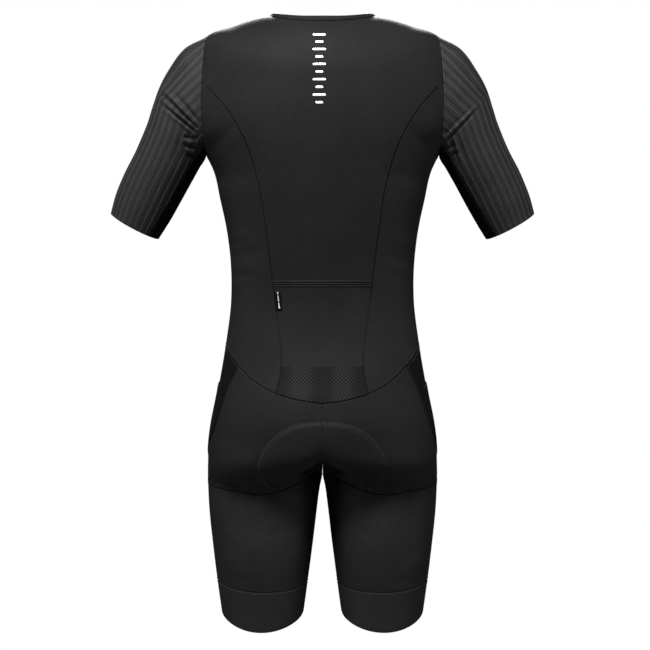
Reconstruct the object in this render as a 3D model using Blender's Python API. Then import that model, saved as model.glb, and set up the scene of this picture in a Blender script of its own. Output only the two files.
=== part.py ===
"""A short-sleeved one-piece triathlon suit, standing open in its worn shape, front towards -Y.

The body is a stack of rings, one for each row of SECTIONS. A point on it is given by how far down
the side its ring is and by its angle round the ring: 90 is the back, 0 the side, -90 the front.
Past the crotch each half is a leg, whose ring goes on to 180, the inseam. All sizes are millimetres.
"""

import math

import bmesh
import bpy
from mathutils import Matrix, Vector

MM = 0.001

# Cloth
WALL = 1.4
BAND_WALL = 1.8
SEAM_INSET = 0.38
CURVED_SEAM_INSET = 0.55
OVERLAY_WALL = 1.0
OVERLAY_LIFT = 0.45
OVERLAY_INSET = 0.8
LABEL_LIFT = 3.0
BAND_HEIGHT = 8.0
BAND_LEAN = 0.25
BAND_SIDE_LEAN = 1.7
MITRE_LIMIT = 0.35
SHARP_ANGLE = 40.0

# Body
CROTCH = 650.0
SPLIT_TOP = 590.0
SPLIT_POWER = 2.0
LIFT_POWER = 1.5
NECK = -115.0
ARMPIT = 172.0
ARMHOLE_STEPS = 12
ARMHOLE_BOW = 4.0
PRINCESS_STEP = 5
SIDE_SEAM_ANGLE = -8.0
SHOULDER_SEAM_ANGLE = -25.0
HIP_TIP = 632.0
HEM = 858.0
SIDE_RUN = 45.0
SETTLE_FROM = 500.0
SETTLE_STEPS = 14

# Front zip
FRONT_EDGE = 5.0
TAPE_INNER = 3.2
TAPE_OUTER = 13.0
TAPE_DEPTH = 2.3
TAPE_WALL = 0.8
CHAIN_HALF = 2.8
CHAIN_DEPTH = 0.4
CHAIN_WALL = 2.2
SLIDER_DOWN = -102.0
CHAIN_GAP = 8.5
ZIP_END_GAP = 1.0
LEAST_ROW_GAP = 2.0

# Pad
PAD_DEPTH = 11.0
PAD_FRONT_DEPTH = 10.0
PAD_MIDDLE = 6.5
PAD_EDGE = 2.5
PAD_TAPER = 1.4
PAD_TAPER_SPOKES = 3
PAD_COLUMNS = 5

# down: distance down the side from the shoulder tip      side_z, back_z, front_z: the ring's heights
# half_width, gap: centre line to the side, and half the space between the legs
# back_y, front_y, side_y: the ring's depths               power: 2 is an ellipse, more is squarer
SECTION_COLUMNS = (
    "down", "side_z", "half_width", "gap", "back_y", "front_y", "side_y", "back_z", "front_z", "power",
)
SECTIONS = (
    (-115, 35, 79, 0, 60, -50, 8, 20, -38, 2.0),
    (-92, 32, 95, 0, 74, -70, 6, 8, -50, 2.0),
    (-45, 20, 133, 0, 90, -92, 3, -16, -66, 2.05),
    (0, 4, 174, 0, 100, -106, 0, -46, -86, 2.15),
    (45, -43, 196, 0, 105, -116, 0, -78, -112, 2.2),
    (95, -95, 203, 0, 108, -122, 0, -112, -132, 2.25),
    (140, -140, 193, 0, 107, -124, 0, -146, -150, 2.3),
    (172, -172, 175, 0, 105, -122, 0, -172, -172, 2.3),
    (192, -192, 165, 0, 102.5, -120, 0, -192, -192, 2.3),
    (240, -240, 153, 0, 95.5, -116, 0, -240, -240, 2.25),
    (288, -288, 143, 0, 86, -112, 0, -288, -288, 2.2),
    (345, -345, 137, 0, 76, -107, 0, -345, -345, 2.2),
    (390, -390, 137, 0, 72, -105, 0, -390, -390, 2.2),
    (450, -450, 144, 0, 77.5, -105, 0, -450, -450, 2.2),
    (510, -510, 154, 0, 93.5, -104, 0, -510, -510, 2.2),
    (540, -540, 160, 0, 104, -103, 0, -540, -540, 2.28),
    (570, -570, 166, 0, 111, -102, 0, -570, -570, 2.34),
    (600, -600, 170, 0, 112, -100, 0, -600, -600, 2.36),
    (630, -630, 171.5, 0, 106, -97, 0, -630, -630, 2.26),
    (650, -650, 172, 0, 94, -95, -1, -650, -650, 2.1),
    (670, -670, 171.5, 4, 84, -93, -2, -671, -669, 2.05),
    (700, -700, 170, 8, 82, -92, -3, -702, -699, 2.0),
    (750, -750, 165, 14, 80, -91, -5, -754, -748, 2.0),
    (800, -800, 159, 20.5, 76, -88, -7, -806, -796, 2.0),
    (830, -830, 155, 24.5, 72.5, -86, -8, -842, -824, 2.0),
    (858, -858, 151, 28.5, 69.5, -84, -9, -879, -850, 2.0),
)

# Seams: where each lies, as a distance from the centre line or an angle, down the side
# down, from_centre
PRINCESS = (
    (63.7, 172), (95, 145), (122, 129), (150, 116), (179, 105), (207, 97), (232, 91),
    (282, 83.5), (364, 73), (430, 65), (490, 60), (530, 68),
)
# angle, down
WAIST = (
    (-90, 450), (-40, 450), (0, 456), (18, 467), (36, 488), (55, 514), (67, 527), (80, 536), (90, 541),
)
# down, back_angle, front_angle
HIP = ((460, 37, -42), (489, 35, -40), (526, 27, -34), (553, 24, -30), (581, 19, -25),
       (610, 6, -16), (632, -8, -8))
# across, down
THIGH_BACK = ((0, 650), (0.12, 660), (0.28, 671), (0.45, 677), (0.7, 673), (1, 658))
THIGH_FRONT = ((0, 658), (0.4, 668), (0.75, 664), (1, 650))
# angle, down
GRIPPER = ((-180, 812), (-90, 822), (0, 809), (90, 812), (180, 812))

# Rows down the torso below the armpit. The third to the sixth are the back pocket's edges.
TORSO_ROWS = (172, 222, 272, 320, 362, 372, 410, 449, 489)
POCKET_TOP = 4
POCKET_BAND_END = 5
POCKET_MESH_TOP = 8
YOKE_ROWS = (-115, -92, -50)
SHORTS_ROWS = (0, 0.14, 0.285, 0.43, 0.57, 0.71, 0.86, 0.925, 0.965, 1)
HIP_TIP_ROW = 6
HIP_POCKET_TOP = 2
LEG_ROWS = 4
GRIPPER_ROWS = 2
BACK_COLUMNS = 6
BACK_SIDE_COLUMNS = 4
FRONT_COLUMNS = 7
SEAT_COLUMNS = 8
HIP_PANEL_COLUMNS = 3
LEG_FRONT_COLUMNS = 8

# Rings down a sleeve: its inner and outer points, the ring's middle and half depth, how far its back
# hangs, how much of the armhole's shape it keeps, and the half angle of the rib-free underarm panel
SLEEVE_COLUMNS = (
    "inner_x", "inner_z", "outer_x", "outer_z", "mid_y", "depth", "back_drop", "armhole_share", "edge_angle",
)
SLEEVE = (
    (175, -172, 174, 4, 0, 60, 0, 1.0, 150),
    (176, -175, 206, -12.6, -2, 60, 0, 0.75, 150),
    (177, -178, 229, -42.3, -4, 60, 0, 0.5, 150),
    (178.5, -181, 245, -71, -6, 59, 0, 0.3, 149),
    (181, -185, 256, -102, -8, 58, 0.5, 0.12, 147),
    (184.5, -190, 264, -127, -10, 57, 1, 0.0, 144),
    (199, -215, 281, -165, -15, 55, 2.5, 0.0, 140),
    (214, -241, 298, -197, -21, 52.5, 4, 0.0, 137),
    (230, -269, 311.5, -228, -27, 50, 5, 0.0, 133),
    (248, -297, 320.5, -258, -33, 47, 6, 0.0, 130),
)
SLEEVE_STEPS = 20
UNDERARM_STEPS = 4

# The pad's spokes, from the top of its back to the top of its front: where each starts on the centre
# line, and the angle and distance down of its end
# centre_down, edge_angle, edge_down
PAD_SPOKES = (
    (581, 81, 583),
    (590, 73, 594),
    (602, 70, 612),
    (615, 75, 630),
    (627, 88, 650),
    (638, 100, 668),
    (646, 128, 677),
    (650, 180, 682),
    (646, -142, 670),
    (639, -120, 658),
    (628, -102, 642),
    (614, -90, 624),
    (602, -84, 608),
)

# Base colours (red, green, blue), roughness and metallic
FINISHES = {
    "suit_cloth": ((0.012, 0.012, 0.013), 0.62, 0.0),
    "rib_cloth": ((0.020, 0.020, 0.021), 0.66, 0.0),
    "side_cloth": ((0.007, 0.007, 0.008), 0.72, 0.0),
    "mesh_cloth": ((0.030, 0.030, 0.031), 0.60, 0.0),
    "elastic": ((0.010, 0.010, 0.011), 0.70, 0.0),
    "gripper_cloth": ((0.017, 0.017, 0.018), 0.58, 0.0),
    "pad_foam": ((0.028, 0.028, 0.030), 0.85, 0.0),
    "zip_tape": ((0.009, 0.009, 0.010), 0.70, 0.0),
    "zip_teeth": ((0.018, 0.018, 0.019), 0.35, 0.0),
    "zip_metal": ((0.045, 0.045, 0.048), 0.32, 0.9),
}


def smooth(rows, at, column, key=0):
    """Reads a column of a table at a key, along a smooth curve through its rows."""
    if at <= rows[0][key]:
        return float(rows[0][column])
    if at >= rows[-1][key]:
        return float(rows[-1][column])
    i = max(k for k in range(len(rows) - 1) if rows[k][key] <= at)
    steps = [rows[k + 1][key] - rows[k][key] for k in range(len(rows) - 1)]
    slopes = [(rows[k + 1][column] - rows[k][column]) / steps[k] for k in range(len(rows) - 1)]

    def tangent(k):
        if k == 0:
            return slopes[0]
        if k == len(rows) - 1:
            return slopes[-1]
        return (slopes[k - 1] * steps[k] + slopes[k] * steps[k - 1]) / (steps[k - 1] + steps[k])

    t = (at - rows[i][key]) / steps[i]
    start, end = rows[i][column], rows[i + 1][column]
    return (
        (2 * t**3 - 3 * t**2 + 1) * start
        + (t**3 - 2 * t**2 + t) * steps[i] * tangent(i)
        + (3 * t**2 - 2 * t**3) * end
        + (t**3 - t**2) * steps[i] * tangent(i + 1)
    )


def mix(a, b, share):
    return a + (b - a) * share


def section(down):
    """The ring at this distance down, as a dictionary, with the centre and span of its half."""
    ring = {name: smooth(SECTIONS, down, k) for k, name in enumerate(SECTION_COLUMNS)}
    width, gap = ring["half_width"], ring["gap"]
    if down <= CROTCH:
        split = max(0.0, (down - SPLIT_TOP) / (CROTCH - SPLIT_TOP)) ** SPLIT_POWER
        ring["span"] = width / (1 + split)
    else:
        ring["span"] = (width - gap) / 2
    ring["middle"] = width - ring["span"]
    return ring


def last_angle(down):
    """The angle at which a half ring meets the centre line, or its inseam."""
    if down >= CROTCH:
        return 180.0
    ring = section(down)
    return 90 + math.degrees(math.asin(min(1.0, (ring["middle"] / ring["span"]) ** (ring["power"] / 2))))


def body(angle, down):
    """A point of the wearer's left half of the body."""
    ring = section(down)
    c, s = math.cos(math.radians(angle)), math.sin(math.radians(angle))
    power = 2 / ring["power"]
    end = "back" if s > 0 else "front"
    x = ring["middle"] + ring["span"] * math.copysign(abs(c) ** power, c)
    y = mix(ring["side_y"], ring[end + "_y"], abs(s) ** power)
    z = mix(ring["side_z"], ring[end + "_z"], abs(s) ** LIFT_POWER)
    return Vector((0.0 if abs(x) < 1e-6 else x, y, z))


def angle_of(x, down):
    """The angle, from 0 to 90, of the point that is x from the centre line."""
    ring = section(down)
    share = min(1.0, max(0.0, (x - ring["middle"]) / ring["span"]))
    return math.degrees(math.acos(share ** (ring["power"] / 2)))


def armhole_x(down):
    return 174.5 + ARMHOLE_BOW * math.sin(math.pi * min(1.0, max(0.0, down / ARMPIT)))


def armhole_down(step):
    return ARMPIT * (1 - math.cos(math.pi * step / ARMHOLE_STEPS)) / 2


def armhole_angle(down):
    if down <= 0 or down >= ARMPIT:
        return 0.0
    return angle_of(armhole_x(down), down)


def side_angle(down):
    """The side seam, or the armhole's back edge above the armpit."""
    if down < ARMPIT:
        return armhole_angle(down)
    return SIDE_SEAM_ANGLE * min(1.0, (down - ARMPIT) / SIDE_RUN)


def front_side_angle(down):
    """The fronts' outer edge: shoulder seam, armhole, side seam."""
    if down <= 0:
        return SHOULDER_SEAM_ANGLE * down / NECK
    return -armhole_angle(down) if down < ARMPIT else side_angle(down)


def princess_angle(down):
    """The back's outer edge: shoulder seam, armhole, then the princess seam."""
    if down <= 0:
        return front_side_angle(down)
    if down <= armhole_down(PRINCESS_STEP):
        return armhole_angle(down)
    return max(angle_of(smooth(PRINCESS, down, 1), down), side_angle(down))


def centre_front_angle(down, x=FRONT_EDGE):
    return -angle_of(x, down)


def waist_down(angle):
    return smooth(WAIST, angle, 1)


def hip_back(down):
    return side_angle(down) if down >= HIP_TIP else smooth(HIP, down, 1)


def hip_front(down):
    return side_angle(down) if down >= HIP_TIP else smooth(HIP, down, 2)


def settle(down_at, left, right, across):
    """Solves for a point on a line whose height depends on its angle."""
    down = SETTLE_FROM
    for _ in range(SETTLE_STEPS):
        angle = mix(left(down), right(down), across)
        down = down_at(angle)
    return mix(left(down), right(down), across), down


def armhole_point(turn):
    """The armhole, by its turn: 0 at the shoulder, 90 at the back, 180 at the armpit."""
    down = ARMPIT * (1 - math.cos(math.radians(turn))) / 2
    angle = armhole_angle(down)
    return body(angle if math.sin(math.radians(turn)) >= 0 else -angle, down)


def sleeve(turn, ring):
    row = dict(zip(SLEEVE_COLUMNS, SLEEVE[ring]))
    c, s = math.cos(math.radians(turn)), math.sin(math.radians(turn))

    def middle_and_reach(r):
        inner, outer = Vector((r["inner_x"], 0, r["inner_z"])), Vector((r["outer_x"], 0, r["outer_z"]))
        return (inner + outer) / 2, (outer - inner) / 2

    centre, reach = middle_and_reach(row)
    first_centre, first_reach = middle_and_reach(dict(zip(SLEEVE_COLUMNS, SLEEVE[0])))
    kept = armhole_point(turn) - first_centre - first_reach * c
    round_part = Vector((0, row["depth"] * s, -row["back_drop"] * s))
    share = row["armhole_share"]
    point = centre + reach * c + kept * share + round_part * (1 - share)
    return point + Vector((0, row["mid_y"], 0))


class Cloth:
    """One mesh of the whole suit, whose faces are listed by piece, so that seams share their points."""

    def __init__(self):
        self.points = []
        self.index = {}
        self.pieces = {}
        self.normals = []

    def point(self, place):
        key = tuple(round(v, 3) + 0.0 for v in place)
        if key not in self.index:
            self.index[key] = len(self.points)
            self.points.append(Vector(place))
        return self.index[key]

    def grid(self, piece, rows, columns, place):
        """Adds a grid to a left piece and its mirror image to the right one."""
        for side, suffix in ((1, "_L"), (-1, "_R")):
            name = piece if piece in ("back_centre", "neckband") else piece + suffix
            faces = self.pieces.setdefault(name, [])
            for i in range(rows):
                for j in range(columns):
                    corners = [(i, j), (i, j + 1), (i + 1, j + 1), (i + 1, j)]
                    spots = [place(*corner) for corner in corners]
                    marks = [self.point((side * p.x, p.y, p.z)) for p in spots]
                    for half in (marks[:3], [marks[0], marks[2], marks[3]]):
                        if len(set(half)) == 3:
                            faces.append((half[::side], i))

    def measure(self):
        self.normals = [Vector() for _ in self.points]
        for faces in self.pieces.values():
            for marks, _ in faces:
                corners = [self.points[m] for m in marks]
                normal = Vector()
                for a, b in zip(corners, corners[1:] + corners[:1]):
                    normal += a.cross(b)
                for m in marks:
                    self.normals[m] += normal
        for normal in self.normals:
            normal.normalize()


def inset_moves(cloth, faces, distance):
    """How far each point on the edge of these faces moves inwards, mitred, along the cloth."""
    edges = {}
    for marks, _ in faces:
        for a, b in zip(marks, marks[1:] + marks[:1]):
            edges[(a, b)] = edges.get((a, b), 0) + 1
    inward = {}
    for a, b in edges:
        if (b, a) not in edges:
            along = cloth.points[b] - cloth.points[a]
            for m in (a, b):
                inward.setdefault(m, []).append(cloth.normals[m].cross(along).normalized())
    moves = {}
    for m, ways in inward.items():
        mean = sum(ways, Vector()).normalized()
        moves[m] = mean * (distance / max(MITRE_LIMIT, mean.dot(ways[0])))
    return moves


def add_object(name, mesh_points, mesh_faces, finish):
    """Makes an object of points in millimetres and gives it its own material."""
    mesh = bpy.data.meshes.new(name)
    mesh.from_pydata([p * MM for p in mesh_points], [], mesh_faces)
    mesh.validate()
    obj = bpy.data.objects.new(name, mesh)
    bpy.context.scene.collection.objects.link(obj)
    mesh.materials.append(make_material(name, finish))
    mesh.shade_smooth()
    mesh.set_sharp_from_angle(angle=math.radians(SHARP_ANGLE))
    return obj


def make_material(name, finish):
    colour, roughness, metallic = FINISHES[finish]
    material = bpy.data.materials.new(name + "_" + finish)
    material.use_nodes = True
    shader = material.node_tree.nodes["Principled BSDF"]
    shader.inputs["Base Color"].default_value = (*colour, 1)
    shader.inputs["Roughness"].default_value = roughness
    shader.inputs["Metallic"].default_value = metallic
    return material


def add_wall(name, outer, inner, faces, finish):
    """A closed wall between two layers of points that share one list of faces."""
    count = len(outer)
    solid = [list(f) for f in faces] + [[count + m for m in reversed(f)] for f in faces]
    directed = {(a, b) for f in faces for a, b in zip(f, list(f[1:]) + [f[0]])}
    solid += [[b, a, count + a, count + b] for a, b in directed if (b, a) not in directed]
    return add_object(name, list(outer) + list(inner), solid, finish)


def add_panel(cloth, name, faces, finish, lift=0.0, wall=WALL, inset=SEAM_INSET):
    """A wall on these faces of the cloth, set back from its seams and lifted outwards."""
    moves = inset_moves(cloth, faces, inset)
    used = sorted({m for marks, _ in faces for m in marks})
    order = {m: k for k, m in enumerate(used)}
    base = [cloth.points[m] + moves.get(m, Vector()) for m in used]
    outer = [p + cloth.normals[m] * (lift + (wall if lift else 0)) for p, m in zip(base, used)]
    inner = [p - cloth.normals[m] * wall for p, m in zip(outer, used)]
    return add_wall(name, outer, inner, [[order[m] for m in marks] for marks, _ in faces], finish)


def torso_down(row, angle, across_to_side):
    """The height of a torso row: level across the middle back, even down the side and the front."""
    share = (TORSO_ROWS[row] - ARMPIT) / (waist_down(90) - ARMPIT) if row < len(TORSO_ROWS) else 1.0
    even = mix(ARMPIT, waist_down(angle), share)
    if row == len(TORSO_ROWS):
        return even
    return mix(TORSO_ROWS[row], even, across_to_side)


def upper_rows():
    """The rows from the neck to the armpit, as distances down."""
    return list(YOKE_ROWS) + [armhole_down(k) for k in range(ARMHOLE_STEPS)]


def lay_torso(cloth):
    rows = upper_rows()
    above = len(rows)
    count = above + len(TORSO_ROWS)

    def back(i, j):
        across = j / BACK_COLUMNS
        if i < above:
            return body(mix(90, princess_angle(rows[i]), across), rows[i])
        if i < count:
            down = TORSO_ROWS[i - above]
            return body(mix(90, princess_angle(down), across), down)
        return body(*settle(waist_down, lambda d: 90, princess_angle, across))

    cloth.grid("back_centre", count, BACK_COLUMNS, back)
    start = len(YOKE_ROWS) + PRINCESS_STEP

    def back_side(i, j):
        across = j / BACK_SIDE_COLUMNS
        i += start
        if i < above:
            return body(mix(princess_angle(rows[i]), side_angle(rows[i]), across), rows[i])
        down = TORSO_ROWS[min(i - above, len(TORSO_ROWS) - 1)]
        for _ in range(SETTLE_STEPS):
            angle = mix(princess_angle(down), side_angle(down), across)
            target = SIDE_SEAM_ANGLE if i < count else angle
            down = torso_down(i - above, target, across)
        return body(angle, down)

    cloth.grid("back_side", count - start, BACK_SIDE_COLUMNS, back_side)

    def front(i, j):
        across = j / FRONT_COLUMNS
        if i < above:
            return body(mix(front_side_angle(rows[i]), centre_front_angle(rows[i]), across), rows[i])
        return body(*settle(lambda a: torso_down(i - above, a, 1.0), side_angle, centre_front_angle, across))

    cloth.grid("front", count, FRONT_COLUMNS, front)
    return above


def lay_neckband(cloth):
    columns = BACK_COLUMNS + FRONT_COLUMNS + 1

    def band(i, j):
        if j <= BACK_COLUMNS:
            angle = mix(90, front_side_angle(NECK), j / BACK_COLUMNS)
        elif j < columns:
            angle = mix(front_side_angle(NECK), centre_front_angle(NECK), (j - BACK_COLUMNS) / FRONT_COLUMNS)
        else:
            angle = centre_front_angle(NECK, 0.5)
        turn = math.radians(angle)
        lean = Vector((-BAND_SIDE_LEAN * math.cos(turn), -BAND_LEAN * math.sin(turn), 1)).normalized()
        return body(angle, NECK) + lean * BAND_HEIGHT * (1 - i / 2)

    cloth.grid("neckband", 2, columns, band)


def lay_sleeves(cloth):
    rows = len(SLEEVE) - 1

    def main(i, j):
        edge = SLEEVE[i][-1]
        return sleeve(mix(edge, -edge, j / SLEEVE_STEPS), i)

    def under(i, j):
        edge = SLEEVE[i][-1]
        return sleeve(mix(360 - edge, edge, j / UNDERARM_STEPS), i)

    cloth.grid("sleeve", rows, SLEEVE_STEPS, main)
    cloth.grid("underarm", rows, UNDERARM_STEPS, under)


def lay_shorts(cloth):
    tip, count = HIP_TIP_ROW, len(SHORTS_ROWS) - 1

    def place(i, left, right, across, thigh):
        return body(*settle(lambda a: mix(waist_down(a), thigh, SHORTS_ROWS[i]), left, right, across))

    def seat(i, j):
        across = j / SEAT_COLUMNS
        right = side_angle if i >= tip else hip_back
        return place(i, last_angle, right, across, smooth(THIGH_BACK, across, 1))

    def hip(i, j):
        if i == tip:
            return place(i, side_angle, side_angle, 0, THIGH_BACK[-1][1])
        return place(i, hip_back, hip_front, j / HIP_PANEL_COLUMNS, THIGH_BACK[-1][1])

    def front(i, j):
        across = j / LEG_FRONT_COLUMNS
        left = side_angle if i >= tip else hip_front
        return place(i, left, lambda d: -last_angle(d), across, smooth(THIGH_FRONT, across, 1))

    cloth.grid("seat", count, SEAT_COLUMNS, seat)
    cloth.grid("hip_panel", tip, HIP_PANEL_COLUMNS, hip)
    cloth.grid("leg_front", count, LEG_FRONT_COLUMNS, front)

    def leg(i, angle, thigh):
        seam = smooth(GRIPPER, angle, 1)
        if i <= LEG_ROWS:
            return body(angle, mix(thigh, seam, i / LEG_ROWS))
        return body(angle, mix(seam, HEM, (i - LEG_ROWS) / GRIPPER_ROWS))

    def back_of_leg(i, j):
        across = j / SEAT_COLUMNS
        return leg(i, mix(180, SIDE_SEAM_ANGLE, across), smooth(THIGH_BACK, across, 1))

    def front_of_leg(i, j):
        across = j / LEG_FRONT_COLUMNS
        return leg(i, mix(SIDE_SEAM_ANGLE, -180, across), smooth(THIGH_FRONT, across, 1))

    cloth.grid("thigh_back", LEG_ROWS, SEAT_COLUMNS, back_of_leg)
    cloth.grid("leg_front", LEG_ROWS, LEG_FRONT_COLUMNS, front_of_leg)
    for columns, place_on in ((SEAT_COLUMNS, back_of_leg), (LEG_FRONT_COLUMNS, front_of_leg)):
        cloth.grid("gripper", GRIPPER_ROWS, columns, lambda i, j: place_on(i + LEG_ROWS, j))


def surface_frame(angle, down):
    """A point of the body with its outward normal."""
    step = 0.5
    across = body(angle - step, down) - body(angle + step, down)
    along = body(angle, down + step) - body(angle, down - step)
    return body(angle, down), across.cross(along).normalized()


def grid_faces(rows, columns):
    """Triangles between rows of points, all split the same way."""
    faces = []
    for i in range(rows - 1):
        for j in range(columns - 1):
            a, b = i * columns + j, (i + 1) * columns + j
            faces += [[a, a + 1, b + 1], [a, b + 1, b]]
    return faces


def add_strip(name, rows, finish, depth, wall):
    """A closed strip under the surface: rows of (point, normal), the outer layer depth below it."""
    columns = len(rows[0])
    outer = [p - n * depth for row in rows for p, n in row]
    inner = [p - n * (depth + wall) for row in rows for p, n in row]
    return add_wall(name, outer, inner, grid_faces(len(rows), columns), finish)


def mirrored(pair):
    point, normal = pair
    return Vector((-point.x, point.y, point.z)), Vector((-normal.x, normal.y, normal.z))


def zip_downs(start):
    """The heights of the zip's rows, the same as the fronts' rows."""
    rows = upper_rows() + [torso_down(k, -90, 1.0) for k in range(len(TORSO_ROWS) + 1)]
    return [start] + [d for d in rows if d > start + LEAST_ROW_GAP][:-1] + [rows[-1] - ZIP_END_GAP]


def add_zip():
    def at(x, down):
        return surface_frame(centre_front_angle(down, x), down)

    tape = [[at(TAPE_OUTER, d), at(TAPE_INNER, d)] for d in zip_downs(NECK + 2)]
    add_strip("zip_tape_L", tape, "zip_tape", TAPE_DEPTH, TAPE_WALL)
    other = [[mirrored(row[1]), mirrored(row[0])] for row in tape]
    add_strip("zip_tape_R", other, "zip_tape", TAPE_DEPTH, TAPE_WALL)
    chain = []
    for down in zip_downs(SLIDER_DOWN + CHAIN_GAP):
        edge = at(CHAIN_HALF, down)
        chain.append([edge, mirrored(edge)])
    add_strip("zip_chain", chain, "zip_teeth", CHAIN_DEPTH, CHAIN_WALL)


def slider_frame():
    """The slider's own axes: X across, Y down the chest, Z outwards."""
    point, normal = surface_frame(-89.9, SLIDER_DOWN)
    normal = Vector((0, normal.y, normal.z)).normalized()
    across = Vector((-1, 0, 0))
    along = normal.cross(across).normalized()
    place = Matrix((across, along, normal)).transposed().to_4x4()
    place.translation = Vector((0, point.y, point.z)) * MM
    return place


def extruded(outline, low, high, to_point):
    """A prism: an outline of pairs, counter-clockwise seen from the high end."""
    count = len(outline)
    points = [to_point(a, b, low) for a, b in outline] + [to_point(a, b, high) for a, b in outline]
    faces = [list(reversed(range(count))), list(range(count, 2 * count))]
    faces += [[k, (k + 1) % count, count + (k + 1) % count, count + k] for k in range(count)]
    return points, faces


SLIDER = {"half_width": 4.4, "top": -7.0, "bottom": 7.0, "low": -1.5, "high": 2.4, "waist": 3.3}
ARCH = {"half_width": 1.0, "start": -5.5, "end": 1.6, "post": 1.2, "under": 4.5, "over": 5.3, "root": 1.9}
PULL = {
    "axis_down": -2.4, "axis_out": 3.45, "half_thick": 0.5, "bar": 0.5, "rail_in": 1.6, "rail_out": 2.8,
    "window_end": 5.0, "end": 23.0, "tip_half": 2.0,
}


def add_slider():
    s = SLIDER
    w, waist = s["half_width"], s["waist"]
    plate = [(-w, s["top"]), (w, s["top"]), (w, 0), (waist, s["bottom"]), (-waist, s["bottom"]), (-w, 0)]
    points, faces = extruded(plate, s["low"], s["high"], lambda a, b, c: Vector((a, b, c)))
    slider = add_object("zip_slider", points, faces, "zip_metal")
    a = ARCH
    side = [
        (a["start"], a["root"]), (a["start"] + a["post"], a["root"]), (a["start"] + a["post"], a["under"]),
        (a["end"] - a["post"], a["under"]), (a["end"] - a["post"], a["root"]), (a["end"], a["root"]),
        (a["end"], a["over"]), (a["start"], a["over"]),
    ]
    arch = add_object("slider_arch", *extruded(side, -a["half_width"], a["half_width"],
                                               lambda p, q, r: Vector((r, p, q))), "zip_metal")
    place = slider_frame()
    for obj in (slider, arch):
        obj.matrix_world = place
    arch.hide_render = True
    arch.display_type = "WIRE"
    union = slider.modifiers.new("arch", "BOOLEAN")
    union.operation = "UNION"
    union.object = arch


def add_pull():
    """The tab: a crossbar on the joint axis, two rails past the arch, and a plate."""
    p = PULL
    across = [-p["rail_out"], -p["rail_in"], p["rail_in"], p["rail_out"]]
    down = [-p["bar"], p["bar"], p["window_end"], p["end"]]
    tip = p["tip_half"] / p["rail_out"]
    base = [
        Vector((x * (tip if y == p["end"] else 1), y, z))
        for z in (p["half_thick"], -p["half_thick"]) for y in down for x in across
    ]
    cells = [(i, j) for i in range(3) for j in range(3) if (i, j) != (1, 1)]
    faces = [[i * 4 + j, i * 4 + j + 1, (i + 1) * 4 + j + 1, (i + 1) * 4 + j] for i, j in cells]
    pull = add_wall("zip_pull", base[:16], base[16:], faces, "zip_metal")
    shift = Matrix.Translation(Vector((0, p["axis_down"], p["axis_out"])) * MM)
    pull.matrix_world = slider_frame() @ shift


def add_pad():
    """The seat pad: spokes from the centre line outwards, under the seat and up the front."""
    rows = []
    for k, (centre, edge_angle, edge_down) in enumerate(PAD_SPOKES):
        sign = -1 if edge_angle < 0 else 1
        row = []
        for j in range(PAD_COLUMNS + 1):
            across = j / PAD_COLUMNS
            down = mix(centre, edge_down, across)
            angle = sign * mix(last_angle(centre), abs(edge_angle), across)
            point, normal = surface_frame(angle, down)
            if j == 0:
                point.x, normal.x = 0.0, 0.0
                if centre == CROTCH:
                    normal = Vector((0, 0, -1))
                normal.normalize()
            ends = min(1.0, PAD_TAPER * min(k, len(PAD_SPOKES) - 1 - k) / PAD_TAPER_SPOKES)
            point -= normal * (PAD_DEPTH if sign > 0 else PAD_FRONT_DEPTH)
            row.append((point, normal, mix(PAD_MIDDLE, PAD_EDGE, 1 - ends * (1 - across**2))))
        flipped = [(*mirrored(pair[:2]), pair[2]) for pair in row[:0:-1]]
        rows.append(flipped + row)
    columns = len(rows[0])
    outer = [p for row in rows for p, _, _ in row]
    inner = [p - n * thick for row in rows for p, n, thick in row]
    add_wall("seat_pad", outer, inner, grid_faces(len(rows), columns), "pad_foam")


LABEL = {"near": 61.5, "far": 70.0, "top": 377.0, "bottom": 406.0, "rows": 3, "slant": 0.1}


def add_label():
    label = LABEL
    rows = []
    for i in range(label["rows"] + 1):
        down = mix(label["top"], label["bottom"], i / label["rows"])
        slide = (down - label["top"]) * label["slant"]
        rows.append([surface_frame(angle_of(x - slide, down), down) for x in (label["near"], label["far"])])
    add_strip("label", rows, "elastic", -LABEL_LIFT - OVERLAY_WALL, OVERLAY_WALL)


def rows_of(faces, first, last):
    return [face for face in faces if first <= face[1] < last]


def clear_scene():
    for obj in list(bpy.data.objects):
        bpy.data.objects.remove(obj, do_unlink=True)


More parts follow.
